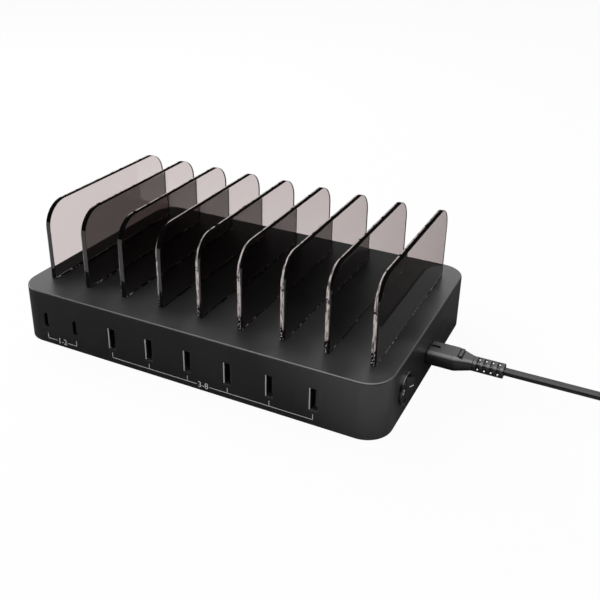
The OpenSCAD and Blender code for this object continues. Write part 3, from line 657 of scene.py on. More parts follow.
def lathe(name: str, profile: Sequence[Pair], steps: int, place: Matrix, finish: Finish) -> Piece:
    """Turns a profile round the Z axis and puts it in its place.

    Args:
        name: The object's name.
        profile: Radius and height of each corner, from axis to axis or round a ring.
        steps: Steps round the axis.
        place: Where it goes.
        finish: Its finish.

    Returns:
        The closed turned object.
    """
    rings = [p for p in profile if p[0] > 0]
    points = [(x, y, z) for r, z in rings for x, y in circle(r, steps)]
    faces = skin(len(rings), steps, closed=len(rings) == len(profile))
    if len(rings) < len(profile):
        end = len(points)
        points += [(0.0, 0.0, profile[0][1]), (0.0, 0.0, profile[-1][1])]
        for k in range(steps):
            n = (k + 1) % steps
            faces += [(end, n, k), (end - steps + k, end - steps + n, end + 1)]
    return object_from(name, [place @ Vector(p) for p in points], faces, finish)


def rod(name: str, r: float, low: float, high: float, steps: int, place: Matrix,
        finish: Finish) -> Piece:
    """Makes a plain round rod between two heights."""
    return lathe(name, [(0, low), (r, low), (r, high), (0, high)], steps, place, finish)


def loft(name: str, sections: Sequence[Sequence[Vector]], finish: Finish) -> Piece:
    """Skins closed sections of equal count and caps both ends."""
    count = len(sections[0])
    points = [p for section in sections for p in section]
    last = range(len(points) - count, len(points))
    caps = [tuple(range(count)), tuple(reversed(last))]
    return object_from(name, points, caps + skin(len(sections), count), finish)


def along_x(name: str, stations: Sequence[tuple[float, float, float, float]], y: float, z: float,
            finish: Finish) -> Piece:
    """Skins round-cornered rectangles that follow each other along X.

    Args:
        name: The object's name.
        stations: X, width along Y, height along Z and corner radius of each rectangle.
        y: The rectangles' middle in Y.
        z: The rectangles' middle in Z.
        finish: Its finish.

    Returns:
        The closed object.
    """
    return loft(name, [[Vector((x, y + py, z + pz)) for py, pz in rounded_outline(w, h, r, 7)]
                       for x, w, h, r in stations], finish)


def wire_loop(name: str, outline: Sequence[Pair], r: float, place: Matrix, sides: int,
              finish: Finish) -> Piece:
    """Bends a round wire along a closed flat outline.

    Args:
        name: The object's name.
        outline: Corners of the wire's middle line.
        r: The wire's radius.
        place: Where the outline's plane goes.
        sides: Faces round the wire.
        finish: Its finish.

    Returns:
        The closed loop.
    """
    points = []
    for k, (x, y) in enumerate(outline):
        ahead = Vector(outline[(k + 1) % len(outline)])
        run = (ahead - Vector(outline[k - 1])).normalized()
        points += [place @ Vector((x + run.y * out, y - run.x * out, up))
                   for out, up in circle(r, sides)]
    return object_from(name, points, skin(len(outline), sides, closed=True), finish)


def finished(obj: Piece, slot: str, *nodes: str, body: str = "station") -> Piece:
    """Shades a piece, sets it on its body and hides the CAD nodes that it stands for.

    Args:
        obj: The piece.
        slot: Not used.
        nodes: The CAD nodes that it replaces.
        body: The CAD body that it moves with.

    Returns:
        The same piece.
    """
    even_normals(obj)
    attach(obj, body)
    if nodes:
        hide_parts(*nodes)
    log.info("%s: %d faces on %s", obj.name, len(obj.data.polygons), body)
    return obj


def softened(node: str, name: str, finish: Finish, slot: str, width: float = 0.15,
             segments: int = 2, body: str = "station") -> Piece:
    """Rounds the edges of a copy of a CAD node and puts it in the node's place.

    Args:
        node: The CAD node.
        name: The piece's name.
        finish: Its finish.
        slot: Not used; passed on to finished, which ignores it.
        width: Radius of its edges, 0 to keep them.
        segments: Faces across a rounding.
        body: The CAD body that it moves with.

    Returns:
        The piece.
    """
    return finished(rounded(copy_of(node, name, finish), width, segments), slot, node, body=body)


# Geometry nodes
def new_group(name: str, **kinds: str) -> tuple[Graph, dict[str, Socket]]:
    """Starts a geometry node tree.

    Args:
        name: The tree's name.
        kinds: Kind of each input between the geometry and the finish, by its name.

    Returns:
        The tree and its inputs, by name.
    """
    tree = bpy.data.node_groups.new(name, "GeometryNodeTree")
    for label, kind in {"Geometry": "Geometry", **kinds, "Finish": "Material"}.items():
        tree.interface.new_socket(label, in_out="INPUT", socket_type=f"NodeSocket{kind}")
    tree.interface.new_socket("Geometry", in_out="OUTPUT", socket_type="NodeSocketGeometry")
    graph = Graph(tree)
    return graph, {s.name: s for s in graph.add("NodeGroupInput").outputs}


def end_group(graph: Graph, geometry: Socket, finish: Socket) -> bpy.types.NodeTree:
    """Ends a tree in Realize Instances, Set Material and the output."""
    real = graph.get("GeometryNodeRealizeInstances", {"Geometry": geometry})
    graph.add("NodeGroupOutput", {"Geometry": graph.get("GeometryNodeSetMaterial", {
        "Geometry": real, "Material": finish})})
    return graph.tree


@cache
def row_tree() -> bpy.types.NodeTree:
    """Builds the tree that repeats a mesh along a line."""
    graph, given = new_group("row_of_copies", Count="Int", Step="Vector")
    line = graph.get("GeometryNodeMeshLine", {"Count": given["Count"], "Offset": given["Step"]})
    copies = graph.get("GeometryNodeInstanceOnPoints", {
        "Points": line, "Instance": given["Geometry"]})
    return end_group(graph, copies, given["Finish"])


@cache
def ring_tree() -> bpy.types.NodeTree:
    """Builds the tree that repeats a mesh round the Z axis."""
    graph, given = new_group("ring_of_copies", Count="Int", Centre="Vector")
    points = graph.get("GeometryNodeMeshLine", {"Count": given["Count"], "Offset": (0.0,) * 3})
    share = graph.calc("DIVIDE", graph.get("GeometryNodeInputIndex"), given["Count"])
    turn = graph.get("ShaderNodeCombineXYZ", {"Z": graph.calc("MULTIPLY", share, 2 * math.pi)})
    copies = graph.get("GeometryNodeInstanceOnPoints", {
        "Points": points, "Instance": given["Geometry"], "Rotation": turn})
    real = graph.get("GeometryNodeRealizeInstances", {"Geometry": copies})
    placed = graph.get("GeometryNodeTransform", {
        "Geometry": real, "Translation": given["Centre"]})
    return end_group(graph, placed, given["Finish"])


@cache
def slab_tree() -> bpy.types.NodeTree:
    """Builds the tree that rounds an outline's corners and gives it a thickness."""
    graph, given = new_group("slab_from_outline", Thickness="Float", Steps="Int")
    curve = graph.get("GeometryNodeMeshToCurve", {"Mesh": given["Geometry"]})
    radius = graph.add("GeometryNodeInputNamedAttribute", {"Name": "corner"}, data_type="FLOAT")
    soft = graph.get("GeometryNodeFilletCurve", {
        "Curve": curve, "Count": given["Steps"], "Radius": radius.outputs["Attribute"]},
        mode="POLY")
    sheet = graph.get("GeometryNodeFillCurve", {"Curve": soft}, mode="NGONS")
    thick = graph.get("GeometryNodeExtrudeMesh", {
        "Mesh": sheet, "Offset Scale": given["Thickness"], "Individual": False}, mode="FACES")
    under = graph.get("GeometryNodeFlipFaces", {"Mesh": sheet})
    both = graph.add("GeometryNodeJoinGeometry")
    for half in (thick, under):
        graph.tree.links.new(half, both.inputs[0])
    closed = graph.get("GeometryNodeMergeByDistance", {
        "Geometry": both.outputs[0], "Distance": SAME_PLACE})
    return end_group(graph, closed, given["Finish"])


def run_tree(obj: Piece, tree: bpy.types.NodeTree, **values: object) -> Piece:
    """Runs a geometry node tree on an object and keeps the result as a plain mesh.

    Args:
        obj: The object whose mesh is the tree's input.
        tree: The tree.
        values: The tree's inputs, by name.

    Returns:
        The same object, with the result as its mesh and no modifier.
    """
    modifier = obj.modifiers.new(tree.name, "NODES")
    modifier.node_group = tree
    known = {item.name: item.identifier for item in tree.interface.items_tree
             if item.in_out == "INPUT"}
    for label, value in values.items():
        modifier[known[label]] = value
    return baked(obj)


def row_of(obj: Piece, count: int, step: Point) -> Piece:
    """Repeats an object's mesh along a line, by steps in millimetres."""
    return run_tree(obj, row_tree(), Count=count, Step=tuple(c * MM for c in step),
                    Finish=obj.data.materials[0])


def ring_of(obj: Piece, count: int, centre: Point) -> Piece:
    """Repeats an object's mesh round the Z axis and moves the ring to its centre."""
    return run_tree(obj, ring_tree(), Count=count, Centre=tuple(c * MM for c in centre),
                    Finish=obj.data.materials[0])


def slab_of(name: str, outline: Sequence[Point], thickness: float, place: Matrix, finish: Finish,
            arc: int = 12) -> Piece:
    """Makes a slab from a flat outline.

    Args:
        name: The object's name.
        outline: Across, up and corner radius of each corner, counterclockwise.
        thickness: The slab's thickness.
        place: Where the slab goes.
        finish: Its finish.
        arc: Steps of a rounded corner.

    Returns:
        The slab.
    """
    count = len(outline)
    mesh = bpy.data.meshes.new(name)
    mesh.from_pydata([(x * MM, y * MM, 0) for x, y, _ in outline],
                     [(k, (k + 1) % count) for k in range(count)], [])
    corner = mesh.attributes.new("corner", "FLOAT", "POINT")
    corner.data.foreach_set("value", [r * MM for _, _, r in outline])
    obj = run_tree(new_object(name, mesh), slab_tree(), Thickness=thickness * MM, Steps=arc,
                   Finish=finish.get())
    obj.data.transform(in_metres(place))
    return outwards(obj)


# Studio
class Rays(NamedTuple):
    """How a ray came to the backdrop.

    straight: from the camera, also through plates. mirrored: sent by a polished face. satin: sent
    by a satin face. veil: how much of the backdrop is left behind several plates. shade: how much
    of the room a satin face sees among the plates.
    """

    straight: Socket
    mirrored: Socket
    satin: Socket
    veil: Socket
    shade: Socket


@dataclass
class Studio:
    """Camera, lights and floor."""

    camera_place: Point = (0.202754, -0.366810, 0.248802)
    azimuth: float = 25.262
    elevation: float = 24.387
    roll: float = 1.217
    lens: float = 48.729
    shift: Pair = (0.00094, -0.10458)
    room: float = 0.35
    room_back: float = 1.25
    room_front: float = 0.25
    room_right: float = 0.55
    room_mirrored: float = 0.02
    veil: float = 0.2
    shade: float = 0.04
    overhead: float = 6.0
    left_strip: float = 4.5
    white_share: float = 0.955
    floor_half: float = 6000.0

    def build(self) -> None:
        """Makes the camera, the world, the lamps and the floor."""
        self.camera()
        self.world()
        self.lamps()
        self.floor()
        bpy.context.scene.view_settings.view_transform = "Standard"

    def camera(self) -> None:
        """Puts the camera where the photograph was taken from."""
        a, e, t = (math.radians(v) for v in (self.azimuth, self.elevation, self.roll))
        back = Vector((math.sin(a) * math.cos(e), -math.cos(a) * math.cos(e), math.sin(e)))
        right = (-back).cross(Vector((0, 0, 1))).normalized()
        up = right.cross(-back)
        across = right * math.cos(t) + up * math.sin(t)
        upright = up * math.cos(t) - right * math.sin(t)
        data = bpy.data.cameras.new("camera")
        data.sensor_width = 36.0
        data.lens = self.lens
        data.shift_x, data.shift_y = self.shift
        camera = new_object("camera", data)
        turn = Matrix((across, upright, back)).transposed().to_4x4()
        camera.matrix_world = Matrix.Translation(self.camera_place) @ turn
        bpy.context.scene.camera = camera

    def rays(self, graph: Graph) -> Rays:
        """Tells apart how a ray came to the world or to the floor."""
        calc = graph.calc
        ray = graph.add("ShaderNodeLightPath").outputs
        bounces = calc("ADD", ray["Glossy Depth"], ray["Diffuse Depth"])
        direct = calc("LESS_THAN", bounces, 0.5)
        through = calc("MAXIMUM", ray["Is Camera Ray"], ray["Is Transmission Ray"])
        mirrored = calc("MULTIPLY", ray["Is Reflection Ray"], ray["Is Singular Ray"])
        sent = calc("MULTIPLY", ray["Is Glossy Ray"], calc("SUBTRACT", 1.0, direct))
        depth = ray["Transmission Depth"]
        return Rays(calc("MULTIPLY", through, direct), mirrored, calc("SUBTRACT", sent, mirrored),
                    graph.ramp(depth, 2.0, 4.0, 1.0, self.veil),
                    graph.ramp(depth, 0.0, 2.0, 1.0, self.shade))

    def world(self) -> None:
        """Makes the background white to look at, and the light from it soft."""
        world = bpy.data.worlds.new("studio")
        bpy.context.scene.world = world
        graph = Graph.of(world)
        calc = graph.calc
        ray = self.rays(graph)
        x, y, z = graph.axes("Generated")
        # A satin face sees a room that is bright behind, and dim in front and on the right
        wall = calc("MULTIPLY",
                    graph.ramp(y, -0.3, 0.5, self.room_front, self.room_back,
                               interpolation_type="SMOOTHSTEP"),
                    graph.ramp(x, 0.0, 0.45, 1.0, self.room_right))
        # A lit strip far on the left picks out the left corner's rim, and a wide soft box overhead
        # draws the bright line along the front rim
        strip = graph.ramp(x, -0.8, -0.92, 0.0, self.left_strip)
        overhead = graph.ramp(z, 0.7, 0.85, 0.0, self.overhead)
        room = calc("MAXIMUM", calc("MAXIMUM", wall, strip), overhead)
        satin = calc("MULTIPLY", ray.satin, calc("MULTIPLY", ray.shade, room))
        seen = calc("MULTIPLY", ray.straight, ray.veil)
        # A polished face sees next to nothing of the room, and other rays only bring its light
        rest = graph.ramp(calc("ADD", ray.mirrored, ray.satin), 0.0, 1.0, self.room,
                          self.room_mirrored)
        light = graph.get("ShaderNodeBackground", {
            "Color": WHITE, "Strength": calc("MAXIMUM", calc("MAXIMUM", seen, satin), rest)})
        graph.add("ShaderNodeOutputWorld", {"Surface": light})

    def lamps(self) -> None:
        """Hangs three soft boxes over the stand."""
        for name, place, target, size, power in (
            ("softbox_rear_left", (-0.55, 0.35, 0.75), (0, 0, 0.02), 0.7, 7.0),
            ("softbox_front_right", (0.8, -0.55, 0.7), (0, 0, 0.02), 0.5, 2.5),
            ("softbox_above_left", (-0.55, -0.38, 0.9), (-0.1, 0, 0.02), 0.35, 3.0),
        ):
            data = bpy.data.lights.new(name, "AREA")
            data.shape = "SQUARE"
            data.size = size
            data.energy = power
            lamp = new_object(name, data)
            lamp.location = place
            # What shines in gloss is the room, not the lamps
            lamp.visible_glossy = False
            lamp.visible_transmission = False
            lamp.rotation_mode = "QUATERNION"
            lamp.rotation_quaternion = (Vector(target) - Vector(place)).to_track_quat("-Z", "Y")

    def floor(self) -> None:
        """Lays a plain pale floor that shows white and keeps the shadow."""
        half = self.floor_half
        floor = object_from("floor", [(-half, -half, 0), (half, -half, 0), (half, half, 0),
                                      (-half, half, 0)], [(0, 1, 2, 3)])
        material = bpy.data.materials.new("floor_paper_white")
        graph = Graph.of(material)
        calc = graph.calc
        ray = self.rays(graph)
        x, y, _ = graph.axes()
        # In a polished face the paper on the left shows, and faintly the one in front
        shown = calc("MAXIMUM", graph.ramp(x, -0.1, 0.1, 1.0, 0.02),
                     graph.ramp(y, -0.2, -0.05, 0.25, 0.02))
        # A satin face sees dim paper, and a bright patch at the right in front
        patch = graph.ramp(calc("SUBTRACT", x, y), 0.14, 0.2, 0.13, 1.0)
        tone = graph.mix(ray.mirrored, graph.mix(ray.satin, PAPER, patch), shown)
        paper = graph.get("ShaderNodeBsdfDiffuse", {"Color": graph.mix(ray.veil, BLACK, tone)})
        white = graph.get("ShaderNodeEmission", {"Color": WHITE, "Strength": ray.veil})
        share = calc("MAXIMUM", calc("MULTIPLY", ray.straight, self.white_share),
                     calc("MULTIPLY", ray.mirrored, shown))
        sheet = graph.get("ShaderNodeMixShader", {0: share, 1: paper, 2: white})
        # From below the paper is clear, so that the underside can be looked at
        below = graph.add("ShaderNodeNewGeometry").outputs["Backfacing"]
        clear = graph.get("ShaderNodeBsdfTransparent")
        sided = graph.get("ShaderNodeMixShader", {0: below, 1: sheet, 2: clear})
        graph.add("ShaderNodeOutputMaterial", {"Surface": sided})
        floor.data.materials.append(material)


# Housing
@dataclass
class Housing:
    """Top housing, base plate, feet, screws and the marking on the front."""

    line_z: float = 4.2
    line_w: float = 0.32
    tick_top: float = 7.4
    ink: float = 0.02
    type_size: float = 4.9
    foot_span: Pair = (172.0, 92.0)

    def build(self) -> None:
        """Makes the housing's pieces."""
        softened("top_housing", "housing_shell", Finish.HOUSING, "housing_plastic", 0.22)
        softened("base_plate", "base_panel", Finish.BASE, "base_plastic", 0.25)
        softened("base_screws", "case_screws", Finish.SCREW, "screw_steel", 0.12)
        self.feet()
        self.bracket("marking_small_sockets", SMALL_PORTS, (-86.6, -79.4), "1-2")
        self.bracket("marking_large_sockets", LARGE_PORTS, (5.6, 13.0), "3-8")

    def feet(self) -> None:
        """Turns one foot and sets it at all four corners."""
        wide, deep = self.foot_span
        profile = [(0, 0), (6.2, 0), (6.7, 0.12), (7.0, 0.45), (7.0, 2.4), (0, 2.4)]
        foot = lathe("desk_feet", profile, 48, place_at((MIDDLE_X - wide / 2, -deep / 2, 0)),
                     Finish.RUBBER)
        row_of(row_of(foot, 2, (wide, 0, 0)), 2, (0, deep, 0))
        finished(foot, "foot_rubber", "rubber_feet")

    def bar(self, x0: float, x1: float, z0: float, z1: float) -> Piece:
        """Makes one printed bar on the front face."""
        return block("mark", (x0, FRONT_Y - self.ink, z0), (x1, FRONT_Y + self.ink, z1),
                     Finish.MARKING, 0)

    def bracket(self, name: str, ports: Sequence[float], gap: Pair, words: str) -> None:
        """Prints a bracket under a row of sockets, with their numbers in its gap.

        Args:
            name: The piece's name.
            ports: The sockets' places along X.
            gap: Where the bracket's line leaves room.
            words: The sockets' numbers.
        """
        half = self.line_w / 2
        start, end = ports[0] - half, ports[-1] + half
        line = self.line_z - half, self.line_z + half
        tick = self.bar(start, start + self.line_w, self.line_z, self.tick_top)
        parts = [row_of(tick, len(ports), (ports[1] - ports[0], 0, 0)),
                 self.bar(start, gap[0], *line), self.bar(gap[1], end, *line),
                 self.numerals(words, sum(gap) / 2)]
        finished(joined(name, parts), "housing_plastic")

    def numerals(self, words: str, x: float) -> Piece:
        """Prints plain numbers centred at x."""
        data = bpy.data.curves.new("numerals", "FONT")
        data.body = words
        data.size = self.type_size * MM
        data.align_x = "CENTER"
        data.align_y = "CENTER"
        data.extrude = self.ink * MM
        data.resolution_u = 3
        text = new_object("numerals", data)
        mesh = evaluated(text)
        bpy.data.objects.remove(text)
        mesh.transform(in_metres(place_at((x, FRONT_Y, self.line_z), "xzY")))
        mesh.materials.clear()
        mesh.materials.append(Finish.MARKING.get())
        return new_object("numerals", mesh)


# Dividers
@dataclass
class Dividers:
    """The nine smoked acrylic plates."""

    count: int = 9
    thickness: float = 3.0
    length: float = 109.5
    height: float = 45.2
    corner_r: float = 14.0
    tab_w: float = 13.0
    tab_depth: float = 5.0
    tabs: Pair = (-32.75, 29.25)
    edge_r: float = 0.45

    def outline(self) -> list[Point]:
        """Gives a plate's outline with its tabs, and the radius of each corner."""
        half, w = self.length / 2, self.tab_w / 2
        points = [(-half, 0.0, 0.4)]
        for y in self.tabs:
            points += [(y - w, 0.0, 0.3), (y - w, -self.tab_depth, 0.6),
                       (y + w, -self.tab_depth, 0.6), (y + w, 0.0, 0.3)]
        return points + [(half, 0.0, 0.4), (half, self.height, self.corner_r),
                         (-half, self.height, self.corner_r)]

    def build(self) -> None:
        """Makes the plates, each on its own body."""
        for k in range(1, self.count + 1):
            x = (k - (self.count + 1) / 2) * PLATE_PITCH + MIDDLE_X - self.thickness / 2
            plate = slab_of(f"divider_plate_{k}", self.outline(), self.thickness,
                            place_at((x, PLATE_Y, TOP_Z), "yzx"), Finish.PLATE, 20)
            finished(rounded(plate, self.edge_r, 3), "smoked_acrylic", f"divider_{k}",
                     body=f"divider_{k}_plate")


# Sockets
@dataclass
class Sockets:
    """The charging sockets: sheet-metal shells, insulators and contacts."""

    z: float = 15.7
    mouth: float = FRONT_Y + 0.3
    depth: float = 13.5
    sheet: float = 0.25

    def tube(self, name: str, x: float, w: float, h: float, r: float, flare: float) -> Piece:
        """Makes an open sheet-metal tube with a flared front lip.

        Args:
            name: The object's name.
            x: Its middle along X.
            w: Its width.
            h: Its height.
            r: Its corner radius.
            flare: How far the lip's sides open towards the mouth.

        Returns:
            The tube, closed between its outer and inner skin.
        """
        t, front, back = self.sheet, self.mouth + 0.05, self.mouth + self.depth
        rings = [(0.03, 0.03, self.mouth), (0.0, 0.0, front), (0.0, 0.0, back),
                 (t + flare, t, back), (t + flare, t, front + flare + 0.05), (t, t, front)]
        points = [(x + px, y, self.z + pz) for side, level, y in rings for px, pz in
                  rounded_outline(w - 2 * side, h - 2 * level, max(r - side, 0.05), 5)]
        count = len(points) // len(rings)
        tube = object_from(name, points, skin(len(rings), count, closed=True),
                           Finish.STEEL if flare else Finish.DARK_STEEL)
        tube.data.materials.append(Finish.PAINTED_HIGHLIGHT.get())
        # Only the lip's left side gets the painted highlight
        lip_ring = 4
        for k, face in enumerate(tube.data.polygons):
            face.material_index = int(flare > 0 and k // count == lip_ring and face.normal.x > 0.4)
        return tube

    def build(self) -> None:
        """Makes the sockets of both kinds."""
        for kind, cad, ports, size, edge in (
            ("large", "usb_a", LARGE_PORTS, (5.1, 12.9, 0.5, 0.4), 0.15),
            ("small", "usb_c", SMALL_PORTS, (3.1, 8.9, 1.54, 0.0), 0.1),
        ):
            for k, x in enumerate(ports, 1):
                finished(self.tube(f"{kind}_socket_shell_{k}", x, *size), "socket_steel",
                         f"{cad}_shell_{k}")
                softened(f"{cad}_tongue_{k}", f"{kind}_socket_core_{k}", Finish.INSULATOR,
                         "insulator_plastic", edge)
        self.contacts()

    def contacts(self) -> None:
        """Lays the contact strips on the tongues."""
        x, rows = LARGE_PORTS[0], []
        for z in (-3.5, -1.0, 1.0, 3.5):
            strip = block("strip", (x - 0.08, -66.7, self.z + z - 0.5),
                          (x + 0.05, -58.8, self.z + z + 0.5), Finish.GOLD, 0.05, 1)
            rows.append(row_of(strip, len(LARGE_PORTS), (LARGE_PITCH, 0, 0)))
        finished(joined("large_socket_contacts", rows), "contact_brass")
        rows = []
        for low, high in ((-0.39, -0.33), (0.33, 0.39)):
            for x in SMALL_PORTS:
                pad = block("pad", (x + low, -68.4, self.z - 2.85), (x + high, -65.0, self.z - 2.6),
                            Finish.GOLD, 0)
                rows.append(row_of(pad, 12, (0, 0, 0.495)))
        finished(joined("small_socket_contacts", rows), "contact_brass")


# Switch
@dataclass
class Switch:
    """The round rocker switch in the right wall."""

    place: Point = (108.1, -41.0, 16.4)
    bezel_r: float = 8.75
    bezel_h: float = 1.5
    bezel_edge: float = 0.55
    body_r: float = 8.0
    body_l: float = 13.0
    pocket_r: float = 7.0
    pocket_depth: float = 5.5
    pocket_edge: float = 0.4
    tilt: float = 13.0
    ridge: float = 1.149
    pivot_depth: float = 0.2
    ink: float = 0.02

    def build(self) -> None:
        """Makes the rim with its body, the rocker and the rocker's marks."""
        edge, inner, chamfer = self.bezel_edge, self.pocket_edge, 0.4
        arc = [math.radians(15 * k) for k in range(7)]
        profile = [(0, -self.body_l), (self.body_r - chamfer, -self.body_l),
                   (self.body_r, chamfer - self.body_l), (self.body_r, 0.0), (self.bezel_r, 0.0)]
        profile += [(self.bezel_r - edge + edge * math.cos(t),
                     self.bezel_h - edge + edge * math.sin(t)) for t in arc]
        profile += [(self.pocket_r + inner - inner * math.sin(t),
                     self.bezel_h - inner + inner * math.cos(t)) for t in arc]
        profile += [(self.pocket_r, -self.pocket_depth), (0, -self.pocket_depth)]
        rim = lathe("switch_rim", profile, 96, place_at(self.place, "Zyx"), Finish.GLOSS)
        finished(rim, "switch_plastic", "switch_body")
        softened("switch_rocker", "switch_rocker_cap", Finish.GLOSS, "rocker_plastic", 0.3, 3,
                 body="rocker")
        self.marks()

    def on_flat(self, side: int, along: float) -> Matrix:
        """Gives the place on one of the rocker's flats.

        Args:
            side: 1 for the rear half, -1 for the front half.
            along: Distance from the middle line.

        Returns:
            A matrix whose Y runs along the flat and whose Z points out of it.
        """
        slope = math.radians(self.tilt)
        out = self.ridge + along * math.sin(slope)
        spot = Matrix.Translation((out, side * along * math.cos(slope), 0))
        lean = Matrix.Rotation(-side * slope, 4, "Z")
        tipped = Matrix.Translation((-self.pivot_depth, 0, 0)) @ Matrix.Rotation(-slope, 4, "Z")
        face = place_at((0, 0, 0), "zyx" if side > 0 else "zYx")
        return place_at(self.place) @ tipped @ spot @ lean @ face

    def marks(self) -> None:
        """Prints a bar on the rear half and a ring on the front half."""
        ink = self.ink
        bar = block("bar", (-0.25, -1.4, -ink), (0.25, 1.4, ink), Finish.MARKING_WHITE, 0,
                    place=self.on_flat(1, 3.9))
        ring = lathe("ring", [(1.05, ink), (1.4, ink), (1.4, -ink), (1.05, -ink)], 32,
                     self.on_flat(-1, 3.6), Finish.MARKING_WHITE)
        finished(joined("switch_marks", [bar, ring]), "rocker_plastic", body="rocker")


# Lead
def ease(s: float) -> float:
    """Gives a smooth change from 0 to 1."""
    return s * s * (3 - 2 * s)


@dataclass
class Lead:
    """The mains lead: connector, boot, flat twin cord, coil, strap and plug."""

    exit: Point = (148.4, 0.5, 13.9)
    cord_w: float = 5.4
    cord_t: float = 3.1
    level_l: float = 47.6
    fall_l: float = 64.0
    coil_r: float = 36.0
    coil_pitch: float = 3.8
    layer_turns: float = 3.75
    layer_gap: float = 0.5
    loop_steps: int = 36
    coil_gap: float = 16.0
    plug_w: float = 21.0
    plug_gap: float = 24.0

    @cached_property
    def route(self) -> list[tuple[float, float, float, float]]:
        """The cord's points: x, y, z and its turn about its run in degrees."""
        x0, y0, z0 = self.exit
        low = self.cord_w / 2 + 0.6
        high = low + self.cord_w + self.layer_gap
        fall_x = x0 + self.level_l
        mid_x, mid_y = fall_x + self.fall_l + self.coil_gap, y0 + self.coil_r
        tail_y, plug_z = mid_y + self.coil_r, self.plug_w / 2
        route = [(x0 + self.level_l * k / 8, y0, z0, 0.0) for k in range(8)]
        for s in (k / 16 for k in range(17)):
            route.append((fall_x + self.fall_l * s, y0, z0 + (low - z0) * ease(s), 90 * ease(s)))
        route += [(mid_x + x, y0, low, 90.0) for x in (-11, -6)]
        # The coil winds inwards in its lower layer and outwards again in its upper one
        for k in range(round(2 * self.layer_turns * self.loop_steps) + 1):
            turn = k / self.loop_steps
            r = self.coil_r - self.coil_pitch * min(turn, 2 * self.layer_turns - turn)
            climb = min(max(2 * (turn - self.layer_turns) + 0.5, 0), 1)
            t = math.radians(360 * turn - 90)
            route.append((mid_x + r * math.cos(t), mid_y + r * math.sin(t),
                          low + (high - low) * climb, 90.0))
        # From the coil it rises, or falls, to the middle of the plug
        for s in (k / 4 for k in range(5)):
            route.append((mid_x - 6 - 12 * s, tail_y, high + (plug_z - high) * ease(s), 90.0))
        return route + [(mid_x - self.plug_gap + x, tail_y, plug_z, 90.0) for x in (3, 0)]

    @property
    def length(self) -> float:
        """The route's length."""
        points = [Vector(p[:3]) for p in self.route]
        return sum((b - a).length for a, b in zip(points, points[1:]))

    def cord_section(self) -> list[Pair]:
        """Gives the flat twin cord's outline: two round cores with a groove between them."""
        r = self.cord_t / 2
        off, groove = (self.cord_w - self.cord_t) / 2, 0.45 * r
        angles = [math.radians(-115 + 230 * k / 10) for k in range(1, 10)]
        half = [(0.1, -groove), *((off + r * math.cos(t), r * math.sin(t)) for t in angles),
                (0.1, groove)]
        return half + [(-x, -y) for x, y in half]

    def cord(self) -> Piece:
        """Sweeps the cord's outline along its route."""
        sections = []
        ends = [self.route[0], *self.route, self.route[-1]]
        for near, here, far in zip(ends, self.route, ends[2:]):
            run = (Vector(far[:3]) - Vector(near[:3])).normalized()
            side = Vector((0, 0, 1)).cross(run).normalized()
            up = run.cross(side)
            c, s = math.cos(math.radians(here[3])), math.sin(math.radians(here[3]))
            wide, thin = side * c + up * s, up * c - side * s
            sections.append([Vector(here[:3]) + wide * px + thin * py
                             for px, py in self.cord_section()])
        return loft("lead_cord", sections, Finish.CORD)

    def boot(self) -> None:
        """Makes the strain relief of the connector: ribs on a slim core, joined by four webs."""
        y, z = self.exit[1:]
        x, rib, ribs, pitch = 132.1, 2.2, 5, 3.525
        edge, full = (8.5, 5.5, 2.2), (9.0, 6.0, 2.4)
        core = [(x + 0.2, 5.6, 3.3, 1.6), (x + 16.1, 5.6, 3.3, 1.6)]
        ring = [(x, *edge), (x + 0.25, *full), (x + rib - 0.25, *full), (x + rib, *edge)]
        parts = [along_x("core", core, y, z, Finish.PVC),
                 row_of(along_x("rib", ring, y, z, Finish.PVC), ribs, (pitch, 0, 0))]
        for web_y in (y - 3.3, y + 3.3):
            for web_z in (z - 2.0, z + 2.0):
                parts.append(block("web", (x + 1, web_y - 0.5, web_z - 0.45),
                                   (x + 15.3, web_y + 0.5, web_z + 0.45), Finish.PVC, 0.25))
        finished(joined("connector_relief", parts), "moulded_pvc", "connector_boot", body="lead")

    def connector(self) -> None:
        """Makes the moulded connector: nose, grip with its notch, tapered shoulder, raised bar."""
        y, z = self.exit[1:]
        x, nose, grip = 96.1, (13.7, 7.7, 3.5), (15.4, 8.6, 3.3)
        stations = [(x, 12.7, 6.7, 3.0), (96.25, 13.3, 7.3, 3.3), (96.6, *nose), (108.25, *nose),
                    (108.3, 14.7, 7.9, 3.0), (108.45, 15.2, 8.4, 3.2), (108.8, *grip),
                    (122.6, *grip), (123.2, 15.3, 8.55, 3.3), (123.9, 15.0, 8.4, 3.3),
                    (131.3, 9.25, 6.15, 2.4), (132.1, 9.0, 6.0, 2.4)]
        body = along_x("connector_body", stations, y, z, Finish.PVC)
        top = z + grip[1] / 2
        corners = [(-2.6, -1.5, 1.4), (2.6, -1.5, 1.4), (2.6, 1.5, 1.4), (-2.6, 1.5, 1.4)]
        tools = [slab_of("notch", corners, 2.0, place_at((111.4, y, top - 0.9)), Finish.PVC, 8)]
        tools += [rod("hole", 1.5, -0.5, 9.5, 24, place_at((x, y + off, z), "Zyx"), Finish.PVC)
                  for off in (-4.3, 4.3)]
        tools.append(block("recess", (123.9, y - 4.6, top - 0.75), (127.2, y + 4.6, top + 2),
                           Finish.PVC, 0))
        for tool in tools:
            carve(body, tool)
        bar = block("bar", (124.5, y - 4.0, top - 1.6), (126.5, y + 4.0, top + 0.8), Finish.PVC,
                    0.5, 3)
        finished(joined("connector_body", [body, bar]), "moulded_pvc", "connector", body="lead")

